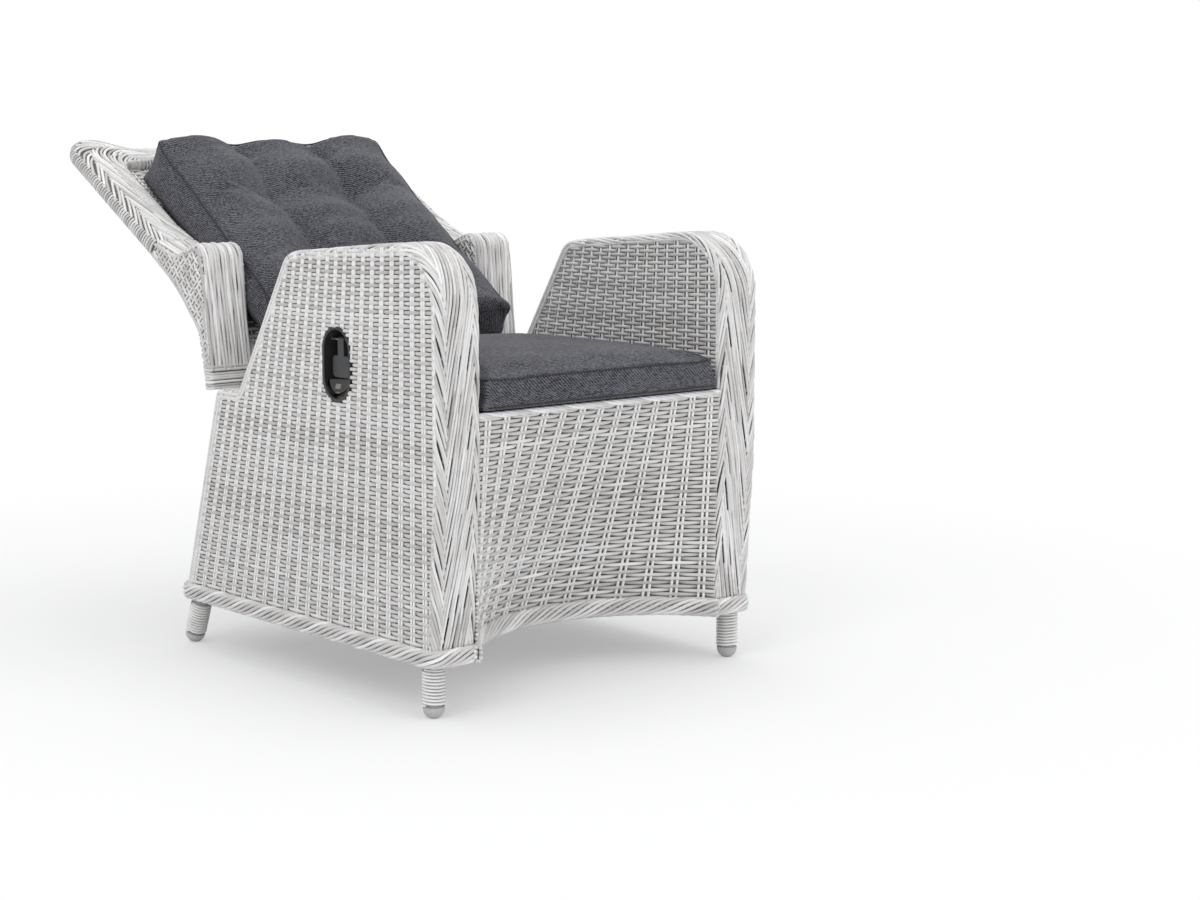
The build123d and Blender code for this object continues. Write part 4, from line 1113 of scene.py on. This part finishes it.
@dataclass
class Cushion:
    """A stuffed cushion made from its CAD solid, puffed by cloth simulation. Lengths in millimetres.

    Cloth pressure swells it by up to `puff`, while the resting side and the tufts are held. `seams` says how far
    the front piping lies below the front seam plane, and the rear piping above the resting side.
    """

    finishes: Finishes
    node: str = ""
    body: str = "base"
    half: float = 234.0
    length: float = 476.0
    start: Pair = (-8.0, 494.3)
    slope: float = 0.0
    low_box: float = 54.0
    high_box: float = 54.0
    crown: float = 20.0
    puff: float = 14.0
    tufts: Points = ()
    voxel: float = 6.0
    shrink: float = 3.0
    pressure: float = 4.0
    steps: int = 20
    held_depth: float = 9.0
    tuft_radius: float = 11.0
    tuft_depth: float = 30.0
    seams: Pair = (3.0, 6.0)

    def __post_init__(self) -> None:
        """Work out the slope's cosine and sine."""
        self.cos, self.sin = math.cos(math.radians(self.slope)), math.sin(math.radians(self.slope))

    def to_own(self, points: Array) -> Array:
        """Metres in the shared frame to (x, along, above the front seam plane)."""
        x, y, z = (points / MM + (0, FRONT_TO_ORIGIN, 0)).T
        y, z = y - self.start[0], z - self.start[1]
        return np.stack([x, y * self.cos + z * self.sin, -y * self.sin + z * self.cos], -1)

    def to_frame(self, own: Array) -> Array:
        """(x, along, above the front seam plane) to metres in the shared frame."""
        x, along, above = np.asarray(own, float).T
        y = self.start[0] + along * self.cos - above * self.sin
        return place(x, y, self.start[1] + along * self.sin + above * self.cos)

    def deep(self, along: Array) -> Array:
        """How deep the cushion's box is at a place along it."""
        return self.low_box + (self.high_box - self.low_box) * np.clip(along / self.length, 0, 1)

    def build(self) -> None:
        """Copy the solid, remesh it, puff it, sew it and give it its fabric."""
        obj = sunk(self.node, "_fabric", self.shrink)
        remesh = obj.modifiers.new("remesh", "REMESH")
        remesh.mode, remesh.voxel_size = "VOXEL", self.voxel * MM
        obj.modifiers.new("smooth", "SMOOTH").iterations = 4
        self.apply(obj)
        self.inflate(obj)
        finer = obj.modifiers.new("finer", "SUBSURF")
        finer.levels = finer.render_levels = 1
        self.apply(obj)
        obj.data.materials.clear()
        smooth_faces(obj.data)
        self.finishes.piece(obj, "twill_fabric", self.body, "cushion", self.node)
        self.sew(obj)
        log.info("%s: %d faces", obj.name, len(obj.data.polygons))

    def inflate(self, obj: Object) -> None:
        """Swell the cushion with cloth pressure, held at its resting side and its tufts."""
        rest = coordinates(obj.data)
        own = self.to_own(rest)
        held = own[:, 2] < self.held_depth - self.deep(own[:, 1])
        for x, along in self.tufts:
            close = np.hypot(own[:, 0] - x, own[:, 1] - along) < self.tuft_radius
            held |= close & (own[:, 2] > -self.tuft_depth)
        group = obj.vertex_groups.new(name="held")
        group.add([int(i) for i in np.flatnonzero(held)], 1.0, "REPLACE")
        cloth = obj.modifiers.new("cloth", "CLOTH")
        cloth.settings.use_pressure = True
        cloth.settings.uniform_pressure_force = self.pressure
        cloth.settings.effector_weights.gravity = 0.0
        cloth.settings.vertex_group_mass = "held"
        cloth.settings.bending_stiffness = 0.6
        cloth.point_cache.frame_start, cloth.point_cache.frame_end = 1, self.steps
        for step in range(1, self.steps + 1):
            bpy.context.scene.frame_set(step)
        graph = bpy.context.evaluated_depsgraph_get()
        move = coordinates(obj.evaluated_get(graph).data) - rest
        bpy.context.scene.frame_set(1)
        obj.modifiers.clear()
        far = np.linalg.norm(move, axis=1, keepdims=True)
        new = self.to_own(rest + move * np.minimum(1.0, self.puff * MM / np.maximum(far, 1e-9)))
        new[:, 0] = np.clip(new[:, 0], -self.half, self.half)
        new[:, 1] = np.clip(new[:, 1], -1.0, self.length + 1.0)
        new[:, 2] = np.clip(new[:, 2], -self.deep(new[:, 1]) + 0.3, self.crown)
        obj.data.vertices.foreach_set("co", self.to_frame(new).ravel())
        obj.data.update()

    def sew(self, obj: Object) -> None:
        """Lay piping round the front and the rear seam."""
        faces = [tuple(face.vertices) for face in obj.data.polygons]
        tree = BVHTree.FromPolygons(coordinates(obj.data).tolist(), faces)
        piping = Strands(self.node + "_piping", self.body, 1.7, 121)
        plan = rounded(((-self.half, 0), (self.half, 0), (self.half, self.length), (-self.half, self.length)),
                       (16, 16, 16, 16))
        track = Track(np.vstack([plan, plan[:1]]))
        loop = track.at(np.linspace(0, track.length, 321)[:-1])
        for above in (np.full(len(loop), -self.seams[0]), self.seams[1] - self.deep(loop[:, 1])):
            line = []
            for point in self.to_frame(np.c_[loop, above]):
                spot, normal, _, _ = tree.find_nearest(Vector(point))
                line.append(spot + normal * 0.5 * MM)
            line = np.array(line)
            for _ in range(4):
                line = (np.roll(line, 1, axis=0) + 2 * line + np.roll(line, -1, axis=0)) / 4
            piping.add(line, 0.0, ring=True)
        piping.build(self.finishes, "cushion", look="seam_fabric")

    @staticmethod
    def apply(obj: Object) -> None:
        """Bake the modifiers into the mesh."""
        graph = bpy.context.evaluated_depsgraph_get()
        mesh = bpy.data.meshes.new_from_object(obj.evaluated_get(graph))
        obj.modifiers.clear()
        old, obj.data = obj.data, mesh
        bpy.data.meshes.remove(old)


@dataclass(frozen=True)
class Hardware:
    """The CAD nodes that stay in sight: how their names begin, by finish."""

    finishes: Finishes
    nodes: tuple[tuple[str, tuple[str, ...]], ...] = (
        ("painted_frame", ("arm_frame", "wing_frame", "rim_frame", "seat_rail", "rear_rail", "spring_rail",
                           "front_low_bar", "back_bar", "hinge_plate", "spring_bar", "spring_bracket")),
        ("zinc_steel", ("pivot", "spring_pin", "lever_pin", "release_head")),
        ("grey_foot", ("foot_cap",)),
        ("wicker_winding", ("leg_winding",)),
        # The seat deck takes the same painted shade as the weave's dark inside.
        ("painted_shade_inside", ("seat_deck",)),
        ("polished_rod", ("gas_spring_rod",)),
        ("black_tube", ("gas_spring_cylinder",)),
        ("cable_sheath", ("release_cable",)),
        ("cup_plastic", ("lever_cup",)),
        ("black_gloss", ("lever_bezel",)),
        ("dark_chrome", ("finger_bowl",)),
        ("lever_plastic", ("release_lever",)),
    )

    def build(self) -> None:
        """Dress the shown nodes."""
        for name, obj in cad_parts.items():
            for finish, starts in self.nodes:
                if name.startswith(starts) and not obj.hide_render:
                    self.finishes.dress(obj, finish)


@dataclass
class Studio:
    """Camera, floor and soft light."""

    camera_at: tuple[float, float, float] = (-2.1846, -3.0337, 0.8333)
    yaw: float = 41.0
    pitch: float = 8.0
    lens: float = 67.5
    lamps: tuple[tuple[str, tuple[float, float, float], float, float], ...] = (
        ("key", (-2.9, -1.5, 3.0), 2.2, 36.0),
        ("top", (0.4, 0.4, 3.8), 3.0, 37.0),
        ("fill", (1.2, -3.8, 1.6), 2.8, 26.0),
    )

    def build(self) -> None:
        """Set up the view and the light."""
        scene = bpy.context.scene
        scene.view_settings.view_transform = "Standard"
        camera = bpy.data.cameras.new("camera")
        camera.lens, camera.sensor_width = self.lens, 36.0
        holder = linked("camera", camera)
        holder.location = self.camera_at
        holder.rotation_euler = (math.radians(90 - self.pitch), 0, -math.radians(self.yaw))
        scene.camera = holder
        self.build_floor()
        self.build_lights()
        self.build_world()

    @staticmethod
    def build_floor() -> None:
        """A plain pale floor that keeps the shadow and fades into the white background."""
        mesh = bpy.data.meshes.new("floor")
        shape = bmesh.new()
        bmesh.ops.create_grid(shape, x_segments=1, y_segments=1, size=30)
        shape.to_mesh(mesh)
        shape.free()
        floor = linked("floor", mesh)
        n = Nodes("studio_floor")
        mesh.materials.append(n.surface((0.88, 0.88, 0.88), 0.9, shine=0.0))
        far = n.add("VectorMath", {0: n.place}, operation="LENGTH").outputs["Value"]
        inputs = {"Value": far, "From Min": 0.55, "From Max": 1.9, "To Min": 0.35, "To Max": 1.0}
        fade = n.add("MapRange", inputs, interpolation_type="SMOOTHSTEP").outputs[0]
        share = n.math("MULTIPLY", fade, n.add("LightPath", {}).outputs["Is Camera Ray"])
        n.mix(share, n.shader, n.add("Emission", {}), n.tree.nodes["Material Output"])

    def build_lights(self) -> None:
        """Large soft lamps from above, the left and the front."""
        for name, at, size, power in self.lamps:
            lamp = bpy.data.lights.new(name, "AREA")
            lamp.size, lamp.energy = size, power
            holder = linked(name, lamp)
            holder.location = at
            aim = Vector((0.0, 0.0, 0.4)) - Vector(at)
            holder.rotation_euler = aim.to_track_quat("-Z", "Y").to_euler()

    @staticmethod
    def build_world() -> None:
        """Soft grey light, and a white background to the camera and in reflections."""
        world = bpy.data.worlds.new("studio")
        bpy.context.scene.world = world
        world.use_nodes = True
        world.node_tree.nodes.clear()
        n = Tree(world.node_tree)
        soft = n.add("Background", {"Color": (0.97, 0.98, 1.0, 1.0), "Strength": 0.76})
        white = n.add("Background", {"Color": (1.0, 1.0, 1.0, 1.0), "Strength": 1.0})
        path = n.add("LightPath", {}).outputs
        ray = path["Is Camera Ray"]
        for name in ("Is Transmission Ray", "Is Glossy Ray"):
            ray = n.math("MAXIMUM", ray, path[name])
        n.mix(ray, soft, white, n.add("OutputWorld", {}))


def main() -> None:
    """Build the chair and its studio."""
    logging.basicConfig(level=logging.INFO, format="%(message)s")
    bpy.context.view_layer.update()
    finishes = Finishes()
    for side in Side:
        Arm(side, finishes).build()
    SeatBase(finishes).build()
    Backrest(finishes).build()
    Cushion(finishes, "seat_cushion", puff=9.0).build()
    third = 497.0 / 3
    tufts = tuple((x, along) for x in (-78.0, 78.0) for along in (third, 2 * third))
    Cushion(finishes, "back_cushion", "back_cushion", length=497.0, start=(494.7, 538.4), slope=35.7, low_box=62.0,
            high_box=89.8, crown=30.0, tufts=tufts).build()
    Hardware(finishes).build()
    Studio().build()


if __name__ == "__main__":
    main()
